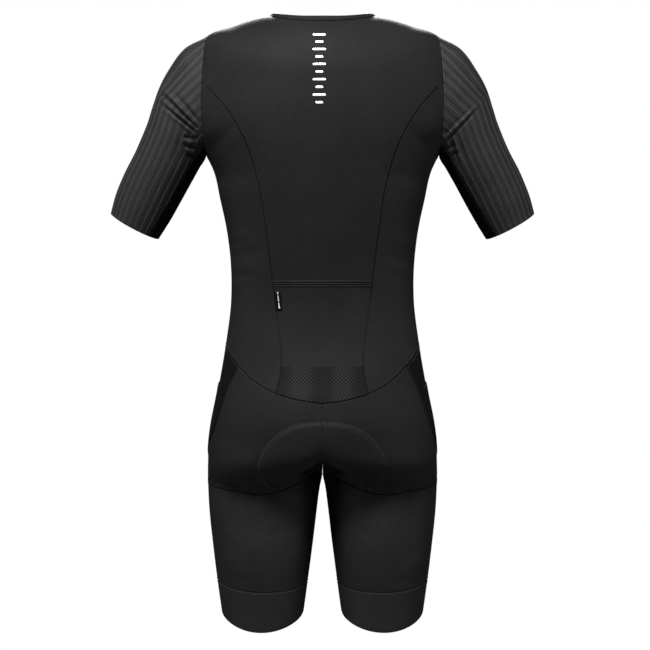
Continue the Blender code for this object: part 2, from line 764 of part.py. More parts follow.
def build():
    clear_scene()
    cloth = Cloth()
    above = lay_torso(cloth)
    lay_neckband(cloth)
    lay_sleeves(cloth)
    lay_shorts(cloth)
    cloth.measure()
    finishes = {
        "neckband": "elastic", "sleeve": "rib_cloth", "underarm": "side_cloth", "hip_panel": "side_cloth",
        "gripper": "gripper_cloth",
    }
    for name, faces in cloth.pieces.items():
        kind = name[:-2] if name.endswith(("_L", "_R")) else name
        wall = BAND_WALL if kind == "neckband" else WALL
        inset = CURVED_SEAM_INSET if kind in ("seat", "hip_panel", "thigh_back") else SEAM_INSET
        add_panel(cloth, name, faces, finishes.get(kind, "suit_cloth"), wall=wall, inset=inset)
    back = cloth.pieces["back_centre"]
    layers = (
        ("pocket_band", above + POCKET_TOP, above + POCKET_BAND_END, "elastic"),
        ("pocket_panel", above + POCKET_BAND_END, above + POCKET_MESH_TOP, "suit_cloth"),
        ("pocket_mesh", above + POCKET_MESH_TOP, above + len(TORSO_ROWS), "mesh_cloth"),
    )
    for name, first, last, finish in layers:
        add_panel(cloth, name, rows_of(back, first, last), finish, OVERLAY_LIFT, OVERLAY_WALL)
    for side in ("_L", "_R"):
        faces = rows_of(cloth.pieces["hip_panel" + side], HIP_POCKET_TOP, HIP_TIP_ROW)
        add_panel(cloth, "hip_pocket" + side, faces, "side_cloth", OVERLAY_LIFT, OVERLAY_WALL, OVERLAY_INSET)
    add_label()
    add_zip()
    add_slider()
    add_pull()
    add_pad()


build()
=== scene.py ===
import math

import bmesh
import bpy
import numpy as np
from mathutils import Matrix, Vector


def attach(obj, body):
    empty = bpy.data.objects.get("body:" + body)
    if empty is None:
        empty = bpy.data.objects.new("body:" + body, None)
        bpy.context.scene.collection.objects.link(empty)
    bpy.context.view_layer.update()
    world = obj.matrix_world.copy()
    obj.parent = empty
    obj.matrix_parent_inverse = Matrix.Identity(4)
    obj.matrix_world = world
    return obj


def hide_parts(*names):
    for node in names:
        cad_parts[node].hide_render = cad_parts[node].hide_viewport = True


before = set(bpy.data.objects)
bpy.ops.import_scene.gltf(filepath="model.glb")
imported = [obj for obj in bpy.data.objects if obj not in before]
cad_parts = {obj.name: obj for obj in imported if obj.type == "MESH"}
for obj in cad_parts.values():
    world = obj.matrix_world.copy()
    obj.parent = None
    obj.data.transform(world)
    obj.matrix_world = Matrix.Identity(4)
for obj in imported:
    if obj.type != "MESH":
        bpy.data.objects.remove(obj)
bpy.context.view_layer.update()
mm = 0.001

# A point of the body is its ring's distance down the side and its angle: 90 back, 0 side, -90 front,
# and on to 180 at the inseam. All tables are in millimetres.
sectionColumns = ("down", "sideZ", "halfWidth", "gap", "backY", "frontY", "sideY", "backZ", "frontZ", "power")
sections = (
    (-115, 35, 79, 0, 60, -50, 8, 20, -38, 2.0),
    (-92, 32, 95, 0, 74, -70, 6, 8, -50, 2.0),
    (-45, 20, 133, 0, 90, -92, 3, -16, -66, 2.05),
    (0, 4, 174, 0, 100, -106, 0, -46, -86, 2.15),
    (45, -43, 196, 0, 105, -116, 0, -78, -112, 2.2),
    (95, -95, 203, 0, 108, -122, 0, -112, -132, 2.25),
    (140, -140, 193, 0, 107, -124, 0, -146, -150, 2.3),
    (172, -172, 175, 0, 105, -122, 0, -172, -172, 2.3),
    (192, -192, 165, 0, 102.5, -120, 0, -192, -192, 2.3),
    (240, -240, 153, 0, 95.5, -116, 0, -240, -240, 2.25),
    (288, -288, 143, 0, 86, -112, 0, -288, -288, 2.2),
    (345, -345, 137, 0, 76, -107, 0, -345, -345, 2.2),
    (390, -390, 137, 0, 72, -105, 0, -390, -390, 2.2),
    (450, -450, 144, 0, 77.5, -105, 0, -450, -450, 2.2),
    (510, -510, 154, 0, 93.5, -104, 0, -510, -510, 2.2),
    (540, -540, 160, 0, 104, -103, 0, -540, -540, 2.28),
    (570, -570, 166, 0, 111, -102, 0, -570, -570, 2.34),
    (600, -600, 170, 0, 112, -100, 0, -600, -600, 2.36),
    (630, -630, 171.5, 0, 106, -97, 0, -630, -630, 2.26),
    (650, -650, 172, 0, 94, -95, -1, -650, -650, 2.1),
    (670, -670, 171.5, 4, 84, -93, -2, -671, -669, 2.05),
    (700, -700, 170, 8, 82, -92, -3, -702, -699, 2.0),
    (750, -750, 165, 14, 80, -91, -5, -754, -748, 2.0),
    (800, -800, 159, 20.5, 76, -88, -7, -806, -796, 2.0),
    (830, -830, 155, 24.5, 72.5, -86, -8, -842, -824, 2.0),
    (858, -858, 151, 28.5, 69.5, -84, -9, -879, -850, 2.0),
)
neckLine, armpitLine, crotchLine, hemLine = -115.0, 172.0, 650.0, 858.0
splitTop, splitPower, liftPower = 590.0, 2.0, 1.5

# seams: distance down or angle, then where the seam runs
princessSeam = ((63.7, 172), (95, 145), (122, 129), (150, 116), (179, 105), (207, 97), (232, 91),
                (282, 83.5), (364, 73), (430, 65), (490, 60), (530, 68))
waistSeam = ((-90, 450), (-40, 450), (0, 456), (18, 467), (36, 488), (55, 514), (67, 527), (80, 536),
             (90, 541))
hipSeams = ((460, 37, -42), (489, 35, -40), (526, 27, -34), (553, 24, -30), (581, 19, -25), (610, 6, -16),
            (632, -8, -8))
thighBackSeam = ((0, 650), (0.12, 660), (0.28, 671), (0.45, 677), (0.7, 673), (1, 658))
thighFrontLine = ((0, 658), (0.4, 668), (0.75, 664), (1, 650))
gripperSeam = ((-180, 812), (-90, 822), (0, 809), (90, 812), (180, 812))
sideSeamAngle, shoulderSeamAngle, hipTip, frontEdge = -8.0, -25.0, 632.0, 5.0
sideSeamRun = 45.0     # how far below the armpit the side seam takes to reach its angle
armhole = {"x": 174.5, "bow": 4.0}

sleeveColumns = ("innerX", "innerZ", "outerX", "outerZ", "midY", "depth", "backDrop", "armholeShare", "edge")
sleeveRings = (
    (175, -172, 174, 4, 0, 60, 0, 1.0, 150),
    (176, -175, 206, -12.6, -2, 60, 0, 0.75, 150),
    (177, -178, 229, -42.3, -4, 60, 0, 0.5, 150),
    (178.5, -181, 245, -71, -6, 59, 0, 0.3, 149),
    (181, -185, 256, -102, -8, 58, 0.5, 0.12, 147),
    (184.5, -190, 264, -127, -10, 57, 1, 0.0, 144),
    (199, -215, 281, -165, -15, 55, 2.5, 0.0, 140),
    (214, -241, 298, -197, -21, 52.5, 4, 0.0, 137),
    (230, -269, 311.5, -228, -27, 50, 5, 0.0, 133),
    (248, -297, 320.5, -258, -33, 47, 6, 0.0, 130),
)


def curveOf(rows, column, keys=None, samples=1800):
    # a smooth curve through one column of a table, kept as a dense list to read from
    xs = np.array([r[0] for r in rows] if keys is None else keys, float)
    ys = np.array([r[column] for r in rows], float)
    steps, slopes = np.diff(xs), np.diff(ys) / np.diff(xs)
    middle = (slopes[:-1] * steps[1:] + slopes[1:] * steps[:-1]) / (steps[1:] + steps[:-1])
    tangents = np.concatenate([slopes[:1], middle, slopes[-1:]])
    at = np.linspace(xs[0], xs[-1], samples)
    i = np.clip(np.searchsorted(xs, at, "right") - 1, 0, len(xs) - 2)
    t = (at - xs[i]) / steps[i]
    value = ((2 * t**3 - 3 * t**2 + 1) * ys[i] + (t**3 - 2 * t**2 + t) * steps[i] * tangents[i]
             + (3 * t**2 - 2 * t**3) * ys[i + 1] + (t**3 - t**2) * steps[i] * tangents[i + 1])
    return lambda x: np.interp(x, at, value)


sectionCurves = {name: curveOf(sections, k) for k, name in enumerate(sectionColumns) if k}
ringNumbers = range(len(sleeveRings))
sleeveCurves = {name: curveOf(sleeveRings, k, ringNumbers) for k, name in enumerate(sleeveColumns)}
princessX = curveOf(princessSeam, 1)
waistDown = curveOf(waistSeam, 1)
hipBackCurve, hipFrontCurve = curveOf(hipSeams, 1), curveOf(hipSeams, 2)
thighBack, thighFront = curveOf(thighBackSeam, 1), curveOf(thighFrontLine, 1)
gripperDown = curveOf(gripperSeam, 1)


def mix(a, b, share):
    return a + (b - a) * share


def sectionAt(down):
    down = np.asarray(down, float)
    ring = {name: read(down) for name, read in sectionCurves.items()}
    split = np.clip((down - splitTop) / (crotchLine - splitTop), 0, 1) ** splitPower
    above = ring["halfWidth"] / (1 + split)
    ring["span"] = np.where(down <= crotchLine, above, (ring["halfWidth"] - ring["gap"]) / 2)
    ring["middle"] = ring["halfWidth"] - ring["span"]
    return ring


def bodyPoint(angle, down):
    ring = sectionAt(down)
    c, s = np.cos(np.radians(angle)), np.sin(np.radians(angle))
    power = 2 / ring["power"]
    reach = np.abs(s) ** power
    isBack = s > 0
    x = ring["middle"] + ring["span"] * np.sign(c) * np.abs(c) ** power
    y = mix(ring["sideY"], np.where(isBack, ring["backY"], ring["frontY"]), reach)
    z = mix(ring["sideZ"], np.where(isBack, ring["backZ"], ring["frontZ"]), np.abs(s) ** liftPower)
    return np.stack(np.broadcast_arrays(x, y, z), -1)


def angleOf(x, down):
    ring = sectionAt(down)
    share = np.clip((x - ring["middle"]) / ring["span"], 0, 1)
    return np.degrees(np.arccos(share ** (ring["power"] / 2)))


def fullAngle(x, down):
    # like angleOf, but on past the middle of the half, round towards the inseam
    ring = sectionAt(down)
    share = np.clip((x - ring["middle"]) / ring["span"], -1, 1)
    return np.degrees(np.arccos(np.sign(share) * np.abs(share) ** (ring["power"] / 2)))


def lastAngle(down):
    ring = sectionAt(down)
    share = np.clip(ring["middle"] / ring["span"], 0, 1) ** (ring["power"] / 2)
    return np.where(np.asarray(down) >= crotchLine, 180.0, 90 + np.degrees(np.arcsin(share)))


def armholeAngle(down):
    down = np.asarray(down, float)
    bowed = armhole["x"] + armhole["bow"] * np.sin(np.pi * np.clip(down / armpitLine, 0, 1))
    return np.where((down <= 0) | (down >= armpitLine), 0.0, angleOf(bowed, down))


def sideAngle(down):
    down = np.asarray(down, float)
    below = sideSeamAngle * np.clip((down - armpitLine) / sideSeamRun, 0, 1)
    return np.where(down < armpitLine, armholeAngle(down), below)


def frontSideAngle(down):
    down = np.asarray(down, float)
    upper = np.where(down <= 0, shoulderSeamAngle * down / neckLine, -armholeAngle(down))
    return np.where(down < armpitLine, upper, sideAngle(down))


def princessAngle(down):
    down = np.asarray(down, float)
    lower = np.maximum(angleOf(princessX(down), down), sideAngle(down))
    upper = np.where(down <= 0, frontSideAngle(down), armholeAngle(down))
    return np.where(down <= princessSeam[0][0], upper, lower)


def zipEdge(down):
    return -angleOf(frontEdge, down)


def hipBack(down):
    return np.where(np.asarray(down) >= hipTip, sideAngle(down), hipBackCurve(down))


def hipFront(down):
    return np.where(np.asarray(down) >= hipTip, sideAngle(down), hipFrontCurve(down))


def armholePoint(turn):
    down = armpitLine * (1 - np.cos(np.radians(turn))) / 2
    angle = armholeAngle(down)
    return bodyPoint(np.where(np.sin(np.radians(turn)) >= 0, angle, -angle), down)


def sleevePoint(turn, ring):
    row = {name: read(ring) for name, read in sleeveCurves.items()}
    c, s = np.cos(np.radians(turn)), np.sin(np.radians(turn))

    def ends(r):
        inner = np.stack(np.broadcast_arrays(r["innerX"], 0.0, r["innerZ"]), -1)
        outer = np.stack(np.broadcast_arrays(r["outerX"], 0.0, r["outerZ"]), -1)
        return (inner + outer) / 2, (outer - inner) / 2

    centre, reach = ends(row)
    firstCentre, firstReach = ends(dict(zip(sleeveColumns, map(float, sleeveRings[0]))))
    kept = armholePoint(turn) - firstCentre - firstReach * c[..., None]
    zero = np.zeros_like(row["depth"] * s)
    roundPart = np.stack([zero, row["depth"] * s, -row["backDrop"] * s], -1)
    share = row["armholeShare"][..., None]
    point = centre + reach * c[..., None] + kept * share + roundPart * (1 - share)
    point[..., 1] += row["midY"]
    return point


# Patches: each gives the angle and distance down for across and along, both 0 to 1
settleSteps = 14
backSideBelow = 300    # how far the side back runs below the armpit, for its rows


def level(value):
    return lambda along: value + 0 * along


def settled(across, along, top, bottom, left, right):
    # top and bottom take an angle or the across share, left and right a distance down
    down = mix(top(across * 0), bottom(across * 0), along) + across * 0
    for _ in range(settleSteps):
        angle = mix(left(down), right(down), across)
        down = mix(top(angle), bottom(angle), along)
    return angle, down


def torsoAt(across, along, part, top, left, right):
    # level rows down to the armpit, then rows that settle on the waist seam
    upper = mix(top, armpitLine, np.clip(along / part, 0, 1))
    lower = np.clip((along - part) / (1 - part), 0, 1)
    angle, down = settled(across, lower, level(armpitLine), waistDown, left, right)
    over = along < part
    return np.where(over, mix(left(upper), right(upper), across), angle), np.where(over, upper, down)


def backAt(across, along):
    return torsoAt(across, along, 0.5, neckLine, level(90.0), princessAngle)


def backSideAt(across, along):
    start = princessSeam[0][0]
    part = (armpitLine - start) / (armpitLine - start + backSideBelow)
    return torsoAt(across, along, part, start, princessAngle, sideAngle)


def frontAt(across, along):
    return torsoAt(across, along, 0.5, neckLine, frontSideAngle, zipEdge)


def seatAt(across, along):
    return settled(across, along, waistDown, lambda a: thighBack(across), lastAngle, hipBack)


def hipAt(across, along):
    return settled(across, along, waistDown, level(hipTip), hipBack, hipFront)


def shortsFrontAt(across, along):
    return settled(across, along, waistDown, lambda a: thighFront(across), hipFront, lambda d: -lastAngle(d))


def thighAt(across, along):
    angle = mix(180, sideSeamAngle, across)
    return angle, mix(thighBack(across), gripperDown(angle), along)


def legFrontAt(across, along):
    angle = mix(sideSeamAngle, -180, across)
    return angle, mix(thighFront(across), gripperDown(angle), along)


def gripperAt(across, along):
    angle = mix(180, -180, across)
    return angle, mix(gripperDown(angle), hemLine, along)


def unit(v):
    return v / np.maximum(np.linalg.norm(v, axis=-1, keepdims=True), 1e-9)


# Creases: from x, from z, to x, to z, height (below 0 in a trough), width
backCreases = (
    (172, -176, 118, -128, -1.6, 9), (176, -160, 140, -100, 1.2, 7), (-174, -178, -112, -134, -1.5, 9),
    (-177, -158, -146, -104, 1.2, 7), (160, -206, 92, -214, -1.0, 11), (-158, -214, -84, -206, -1.0, 11),
    (136, -330, 84, -318, -1.1, 8), (137, -352, 96, -356, -0.9, 6), (-136, -338, -88, -322, -1.2, 8),
    (-137, -364, -82, -352, -0.8, 7), (138, -300, 104, -292, 0.8, 7), (-138, -312, -100, -300, 0.8, 7),
    (30, -724, 80, -738, -0.9, 7), (-34, -722, -86, -742, -0.9, 7), (150, -742, 120, -770, -0.8, 8),
    (-152, -748, -118, -778, -0.8, 8), (146, -800, 96, -806, -0.6, 7), (-144, -806, -90, -800, -0.6, 7),
)
# the fold where the seat turns in above the thighs, one half
seatTuck = ((0, -641), (12, -651), (36, -667), (62, -674), (100, -674), (140, -667), (172, -657))
tuck = {"depth": 17.0, "above": 21.0, "below": 75.0, "sideFrom": 175, "sideOver": 40}
frontCreases = (
    (172, -178, 120, -140, -1.8, 9), (176, -158, 142, -106, 1.3, 7), (-174, -176, -124, -134, -1.8, 9),
    (-176, -160, -138, -112, 1.3, 7), (150, -214, 84, -204, -1.1, 11), (-152, -208, -78, -212, -1.1, 11),
    (130, -332, 70, -344, -1.3, 9), (-132, -340, -66, -338, -1.3, 9), (126, -372, 60, -366, 0.9, 8),
    (-128, -366, -62, -374, 0.9, 8), (118, -404, 40, -414, -1.2, 9), (-116, -410, -44, -404, -1.2, 9),
    (10, -600, 66, -560, -1.6, 9), (-12, -604, -70, -566, -1.6, 9), (12, -636, 92, -606, 1.4, 8),
    (-12, -640, -90, -600, 1.4, 8), (20, -668, 104, -656, -1.8, 9), (-20, -666, -108, -660, -1.8, 9),
    (36, -716, 120, -724, -0.9, 8), (-32, -720, -116, -714, -0.9, 8), (150, -760, 100, -776, -0.8, 8),
    (-150, -768, -96, -764, -0.8, 8),
)
leftSleeveCreases = (
    (184, -133, 240, -74, 3.0, 2.3), (185, -137, 243, -82, -3.4, 2.1), (186, -139, 243, -90, 2.8, 2.2),
    (187, -143, 243, -98, -3.2, 2.1), (188, -147, 236, -108, 2.0, 2.6), (182, -128, 220, -84, -2.6, 2.2),
    (181, -122, 205, -90, 1.4, 3.2), (186, -152, 207, -150, -2.6, 2.0), (187, -158, 208, -156, 2.0, 2.0),
    (187, -164, 206, -162, -2.6, 2.0), (188, -170, 205, -168, 2.0, 2.0), (187, -176, 202, -175, -2.4, 2.0),
    (189, -182, 199, -183, 1.6, 2.4), (211, -146, 216, -196, -1.2, 3.4),
)
rightSleeveCreases = (
    (-183, -150, -234, -98, 2.9, 2.4), (-184, -154.5, -232, -105, -2.5, 2.6),
    (-181, -145, -222, -107, -1.5, 3.0), (-190, -152, -202, -197, -2.5, 2.6),
    (-195, -150, -210, -205, 1.7, 2.8), (-201, -148, -217, -197, -1.9, 2.8),
    (-184, -158, -194, -187, 1.7, 2.6), (-182, -166, -199, -162, -1.7, 2.4),
    (-186, -177, -205, -171, -1.5, 2.4), (-178, -140, -197, -150, -1.6, 2.6),
    (-208, -150, -226, -200, 0.9, 4.5),
)
padBulge = {"height": 1.9, "edge": 5.0, "roundness": 0.6, "channel": 0.8, "channelWidth": 2.4}
# the pad's edge on the seat, one half, as x and height
padOutline = ((0, -568.5), (24, -570), (45, -575), (61, -584), (75, -596), (86, -612), (92, -632), (89, -652),
              (79, -666.5), (62, -672), (48, -671), (35, -667), (22, -659), (9, -648))
# slow unevenness of worn cloth, and how near the middle of the body's depth the creases fade
uneven = {"body": 0.35, "bodyFine": 0.2, "sleeve": 0.3, "otherSide": 0.8, "fade": 25.0}


def segmentDistance(x, z, a, b):
    # distance to a line from a to b, and how far along it the nearest point is
    length = math.hypot(b[0] - a[0], b[1] - a[1])
    alongX, alongZ = (b[0] - a[0]) / length, (b[1] - a[1]) / length
    run = np.clip(((x - a[0]) * alongX + (z - a[1]) * alongZ) / length, 0, 1)
    return np.hypot(x - mix(a[0], b[0], run), z - mix(a[1], b[1], run)), run


def creaseRelief(points, creases):
    x, z = points[..., 0], points[..., 2]
    total = np.zeros_like(x)
    for fromX, fromZ, toX, toZ, height, width in creases:
        away, run = segmentDistance(x, z, (fromX, fromZ), (toX, toZ))
        taper = np.clip(np.sin(np.pi * np.clip(run * 0.85 + 0.12, 0, 1)), 0, 1)
        total += height * np.exp(-(away / width) ** 2) * taper
    return total


def padRelief(points):
    x, z = np.abs(points[..., 0]), points[..., 2]
    away = np.full(x.shape, 1e3)
    inside = np.zeros(x.shape, bool)
    for a, b in zip(padOutline, padOutline[1:]):
        away = np.minimum(away, segmentDistance(x, z, a, b)[0])
    ring = list(padOutline) + [(-1, padOutline[-1][1]), (-1, padOutline[0][1])]
    for a, b in zip(ring, ring[1:] + ring[:1]):
        crossed = (a[1] > z) != (b[1] > z)
        inside ^= crossed & (x < a[0] + (z - a[1]) * (b[0] - a[0]) / (b[1] - a[1] + 1e-9))
    rise = padBulge["height"] * np.clip(away / padBulge["edge"], 0, 1) ** padBulge["roundness"] * inside
    return rise - padBulge["channel"] * np.exp(-(away / padBulge["channelWidth"]) ** 2)


def tuckRelief(points):
    x, z = np.abs(points[..., 0]), points[..., 2]
    line = np.interp(x, [p[0] for p in seatTuck], [p[1] for p in seatTuck])
    above, below = np.exp(-np.abs(z - line) / tuck["above"]), np.exp(-((z - line) / tuck["below"]) ** 2)
    atSide = np.clip((tuck["sideFrom"] - x) / tuck["sideOver"], 0, 1)
    return -tuck["depth"] * np.where(z > line, above, below) * atSide


def bodyRelief(points):
    x, y, z = points[..., 0], points[..., 1], points[..., 2]
    back = y > 0
    soft = uneven["body"] * np.sin(x / 23 + z / 41 + 1.3) * np.sin(z / 31 - x / 57)
    soft = soft + uneven["bodyFine"] * np.sin(x / 11 - z / 37 + 0.4)
    fold = np.where(back, creaseRelief(points, backCreases), creaseRelief(points, frontCreases))
    fold = fold + np.where(back, tuckRelief(points), 0)
    fade = np.clip(np.abs(y) / uneven["fade"], 0, 1)
    return (fold + soft) * fade + np.where(back, padRelief(points), 0)


def sleeveRelief(points):
    x, y, z = points[..., 0], points[..., 1], points[..., 2]
    left, right = creaseRelief(points, leftSleeveCreases), creaseRelief(points, rightSleeveCreases)
    # the hidden front of each sleeve takes the other sleeve's creases, a little shallower
    other = creaseRelief(points * np.array([-1, 1, 1]), leftSleeveCreases + rightSleeveCreases)
    back = np.clip((y + 12) / 30, 0, 1)
    soft = uneven["sleeve"] * np.sin(x / 17 + z / 23) * np.sin(z / 19 - y / 21)
    return mix(other * uneven["otherSide"], np.where(x > 0, left, right), back) + soft


def mirrorTo(side, *arrays):
    flip = np.array([side, 1, 1])
    return [a * flip for a in arrays]


def bodySurface(angle, down, side=1, lift=0.0):
    # point and outward normal of the worn cloth, with its relief
    e = 0.4
    across = bodyPoint(angle - e, down) - bodyPoint(angle + e, down)
    along = bodyPoint(angle, down + e) - bodyPoint(angle, down - e)
    point, normal = mirrorTo(side, bodyPoint(angle, down), unit(np.cross(across, along)))
    return point + normal * (bodyRelief(point) + lift)[..., None], normal


def sleeveSurface(turn, ring, side=1, lift=0.0):
    e, r = 0.5, 0.02
    across = sleevePoint(turn - e, ring) - sleevePoint(turn + e, ring)
    low, high = np.clip(ring - r, 0, ringNumbers[-1]), np.clip(ring + r, 0, ringNumbers[-1])
    along = sleevePoint(turn, high) - sleevePoint(turn, low)
    point, normal = mirrorTo(side, sleevePoint(turn, ring), unit(np.cross(across, along)))
    return point + normal * (sleeveRelief(point) + lift)[..., None], normal


def spacing(length, cell, near=(0.0, 0.7, 1.5, 2.6, 4.2)):
    # shares along a run, closer together beside the seams
    near = np.array(near)
    if length < 3 * near[-1]:
        return np.linspace(0, 1, max(3, int(length / cell) + 1))
    count = max(1, round((length - 2 * near[-1]) / cell))
    inner = np.linspace(near[-1], length - near[-1], count + 1)
    return np.concatenate([near[:-1], inner, (length - near[:-1])[::-1]]) / length


def runLengths(points, axis):
    step = np.linalg.norm(np.diff(points, axis=axis), axis=-1)
    start = np.zeros_like(np.take(step, [0], axis=axis))
    return np.concatenate([start, np.cumsum(step, axis=axis)], axis=axis)


def edgeDistance(points, sides):
    across, along = runLengths(points, 1), runLengths(points, 0)
    found = {"left": across, "right": across[:, -1:] - across, "top": along, "bottom": along[-1:] - along}
    return np.min([found[s] for s in sides], axis=0)


def newObject(name, points, faces, material, smooth=True):
    mesh = bpy.data.meshes.new(name)
    mesh.from_pydata((np.asarray(points) * mm).tolist(), [], faces)
    obj = bpy.data.objects.new(name, mesh)
    bpy.context.scene.collection.objects.link(obj)
    mesh.materials.append(material)
    if smooth:
        mesh.shade_smooth()
    return obj


def gridFaces(rows, columns, flip):
    i, j = np.meshgrid(np.arange(rows - 1), np.arange(columns - 1), indexing="ij")
    a = (i * columns + j).ravel()
    quads = np.stack([a, a + 1, a + columns + 1, a + columns], 1)
    return (quads[:, ::-1] if flip else quads).tolist()


def patch(points, side):
    # a grid of points, its flat map by its own lengths, and whether its faces turn round
    return points, np.stack([side * runLengths(points, 1), -runLengths(points, 0)], -1), side < 0


def gridMesh(name, grids, material):
    points, faces, uvs, base = [], [], [], 0
    for grid, uv, flip in grids:
        points.append(grid.reshape(-1, 3))
        uvs.append(uv.reshape(-1, 2))
        faces += [[base + k for k in f] for f in gridFaces(*grid.shape[:2], flip)]
        base += len(points[-1])
    obj = newObject(name, np.concatenate(points), faces, material)
    layer = obj.data.uv_layers.new(name="cloth")
    corner = np.empty(len(obj.data.loops), np.int32)
    obj.data.loops.foreach_get("vertex_index", corner)
    layer.data.foreach_set("uv", (np.concatenate(uvs)[corner] * mm).astype(np.float32).ravel())
    return obj


def thicken(obj, thickness):
    shell = obj.modifiers.new("wall", "SOLIDIFY")
    shell.thickness = thickness * mm
    shell.offset = -1
    bpy.ops.object.select_all(action="DESELECT")
    obj.select_set(True)
    bpy.context.view_layer.objects.active = obj
    bpy.ops.object.modifier_apply(modifier=shell.name)
    obj.select_set(False)


weldDistance, thinEdge = 0.00002, 0.00001


def clothSheet(name, grids, material, thickness):
    # patches welded into one sheet, then given its wall
    obj = gridMesh(name, grids, material)
    bm = bmesh.new()
    bm.from_mesh(obj.data)
    bmesh.ops.remove_doubles(bm, verts=bm.verts, dist=weldDistance)
    bmesh.ops.dissolve_degenerate(bm, edges=bm.edges, dist=thinEdge)
    bm.to_mesh(obj.data)
    bm.free()
    thicken(obj, thickness)
    return obj


def place(obj, slot, node=None):
    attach(obj, "suit")
    if node:
        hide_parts(node)


# How far the cut cloth is smaller than the cloth as worn
cut = {"width": 0.93, "length": 0.96, "least": 0.0102, "leastShare": 0.31}
cutSizes = {}


def gridArea(grid):
    first = np.cross(grid[:-1, 1:] - grid[:-1, :-1], grid[1:, 1:] - grid[:-1, :-1])
    second = np.cross(grid[1:, 1:] - grid[:-1, :-1], grid[1:, :-1] - grid[:-1, :-1])
    return float(np.linalg.norm(first, axis=-1).sum() + np.linalg.norm(second, axis=-1).sum()) / 2


def declareCloth(obj, grids):
    # the flat cut, worked out from the worn sheet and the stretch it is worn at
    width = sum(float(runLengths(g, 1)[:, -1].max()) for g, _, _ in grids) * cut["width"] * mm
    length = max(float(runLengths(g, 0)[-1].max()) for g, _, _ in grids) * cut["length"] * mm
    length = max(length, cut["least"])
    worn = sum(gridArea(g) for g, _, _ in grids) * mm * mm
    area = min(worn * cut["width"] * cut["length"], width * length)
    area = max(area, cut["leastShare"] * width * length)
    cutSizes[obj.name] = (round(width * 1000), round(length * 1000), round(area * 1e4))


def makeSheet(name, grids, material, thickness, slot, node):
    obj = clothSheet(name, grids, material, thickness)
    place(obj, slot, node)
    declareCloth(obj, grids)


# Materials
def nodeMaterial(name, colour, roughness, sheen=0.0, sheenRoughness=0.5, metallic=0.0):
    material = bpy.data.materials.new(name)
    material.use_nodes = True
    nodes, links = material.node_tree.nodes, material.node_tree.links
    shader = nodes["Principled BSDF"]
    shader.inputs["Base Color"].default_value = (*colour, 1)
    shader.inputs["Roughness"].default_value = roughness
    shader.inputs["Metallic"].default_value = metallic
    shader.inputs["Sheen Weight"].default_value = sheen
    shader.inputs["Sheen Roughness"].default_value = sheenRoughness
    shader.inputs["Sheen Tint"].default_value = (0.75, 0.77, 0.8, 1)
    return material, nodes, links, shader


def addNode(nodes, kind, **settings):
    node = nodes.new(kind)
    for key, value in settings.items():
        if key in node.inputs:
            node.inputs[key].default_value = value
        else:
            setattr(node, key, value)
    return node


def mapped(nodes, links, output, scale, turn=0.0):
    coords = nodes.new("ShaderNodeTexCoord")
    mapping = nodes.new("ShaderNodeMapping")
    mapping.inputs["Scale"].default_value = scale
    mapping.inputs["Rotation"].default_value = (0, 0, turn)
    links.new(coords.outputs[output], mapping.inputs["Vector"])
    return mapping.outputs["Vector"]


def ramp(nodes, links, source, stops):
    node = nodes.new("ShaderNodeValToRGB")
    elements = node.color_ramp.elements
    while len(elements) < len(stops):
        elements.new(0.5)
    for element, (place, colour) in zip(elements, stops):
        element.position = place
        element.color = (*colour, 1)
    links.new(source, node.inputs["Fac"])
    return node.outputs["Color"]


def addBump(nodes, links, shader, height, strength, distance, after=None):
    bump = nodes.new("ShaderNodeBump")
    bump.inputs["Strength"].default_value = strength
    bump.inputs["Distance"].default_value = distance
    links.new(height, bump.inputs["Height"])
    if after is not None:
        links.new(after, bump.inputs["Normal"])
    links.new(bump.outputs["Normal"], shader.inputs["Normal"])
    return bump.outputs["Normal"]


def grey(value):
    return (value, value, value * 1.03)


def even(value):
    return (value, value, value)


def noiseOf(nodes, links, scale, detail, roughness):
    noise = addNode(nodes, "ShaderNodeTexNoise", Scale=scale, Detail=detail, Roughness=roughness)
    links.new(mapped(nodes, links, "Object", (1, 1, 1)), noise.inputs["Vector"])
    return noise.outputs["Fac"]


def multiplied(nodes, links, first, second):
    node = addNode(nodes, "ShaderNodeMix", data_type="RGBA", blend_type="MULTIPLY")
    node.inputs[0].default_value = 1.0
    links.new(first, node.inputs[6])
    links.new(second, node.inputs[7])
    return node.outputs[2]


def upsideDown(nodes, links, height):
    node = addNode(nodes, "ShaderNodeMath", operation="SUBTRACT")
    node.inputs[0].default_value = 1.0
    links.new(height, node.inputs[1])
    return node.outputs[0]


knitFinish = {"base": 0.0075, "vary": 0.16, "mottle": 9.0, "pitch": 0.75, "bump": 0.35, "roughness": 0.6,
              "sheen": 0.003, "sheenRoughness": 0.5, "specular": 0.03, "crumple": 0.12, "grain": 0.22,
              "fleck": 520.0, "crumpleScale": 38.0}


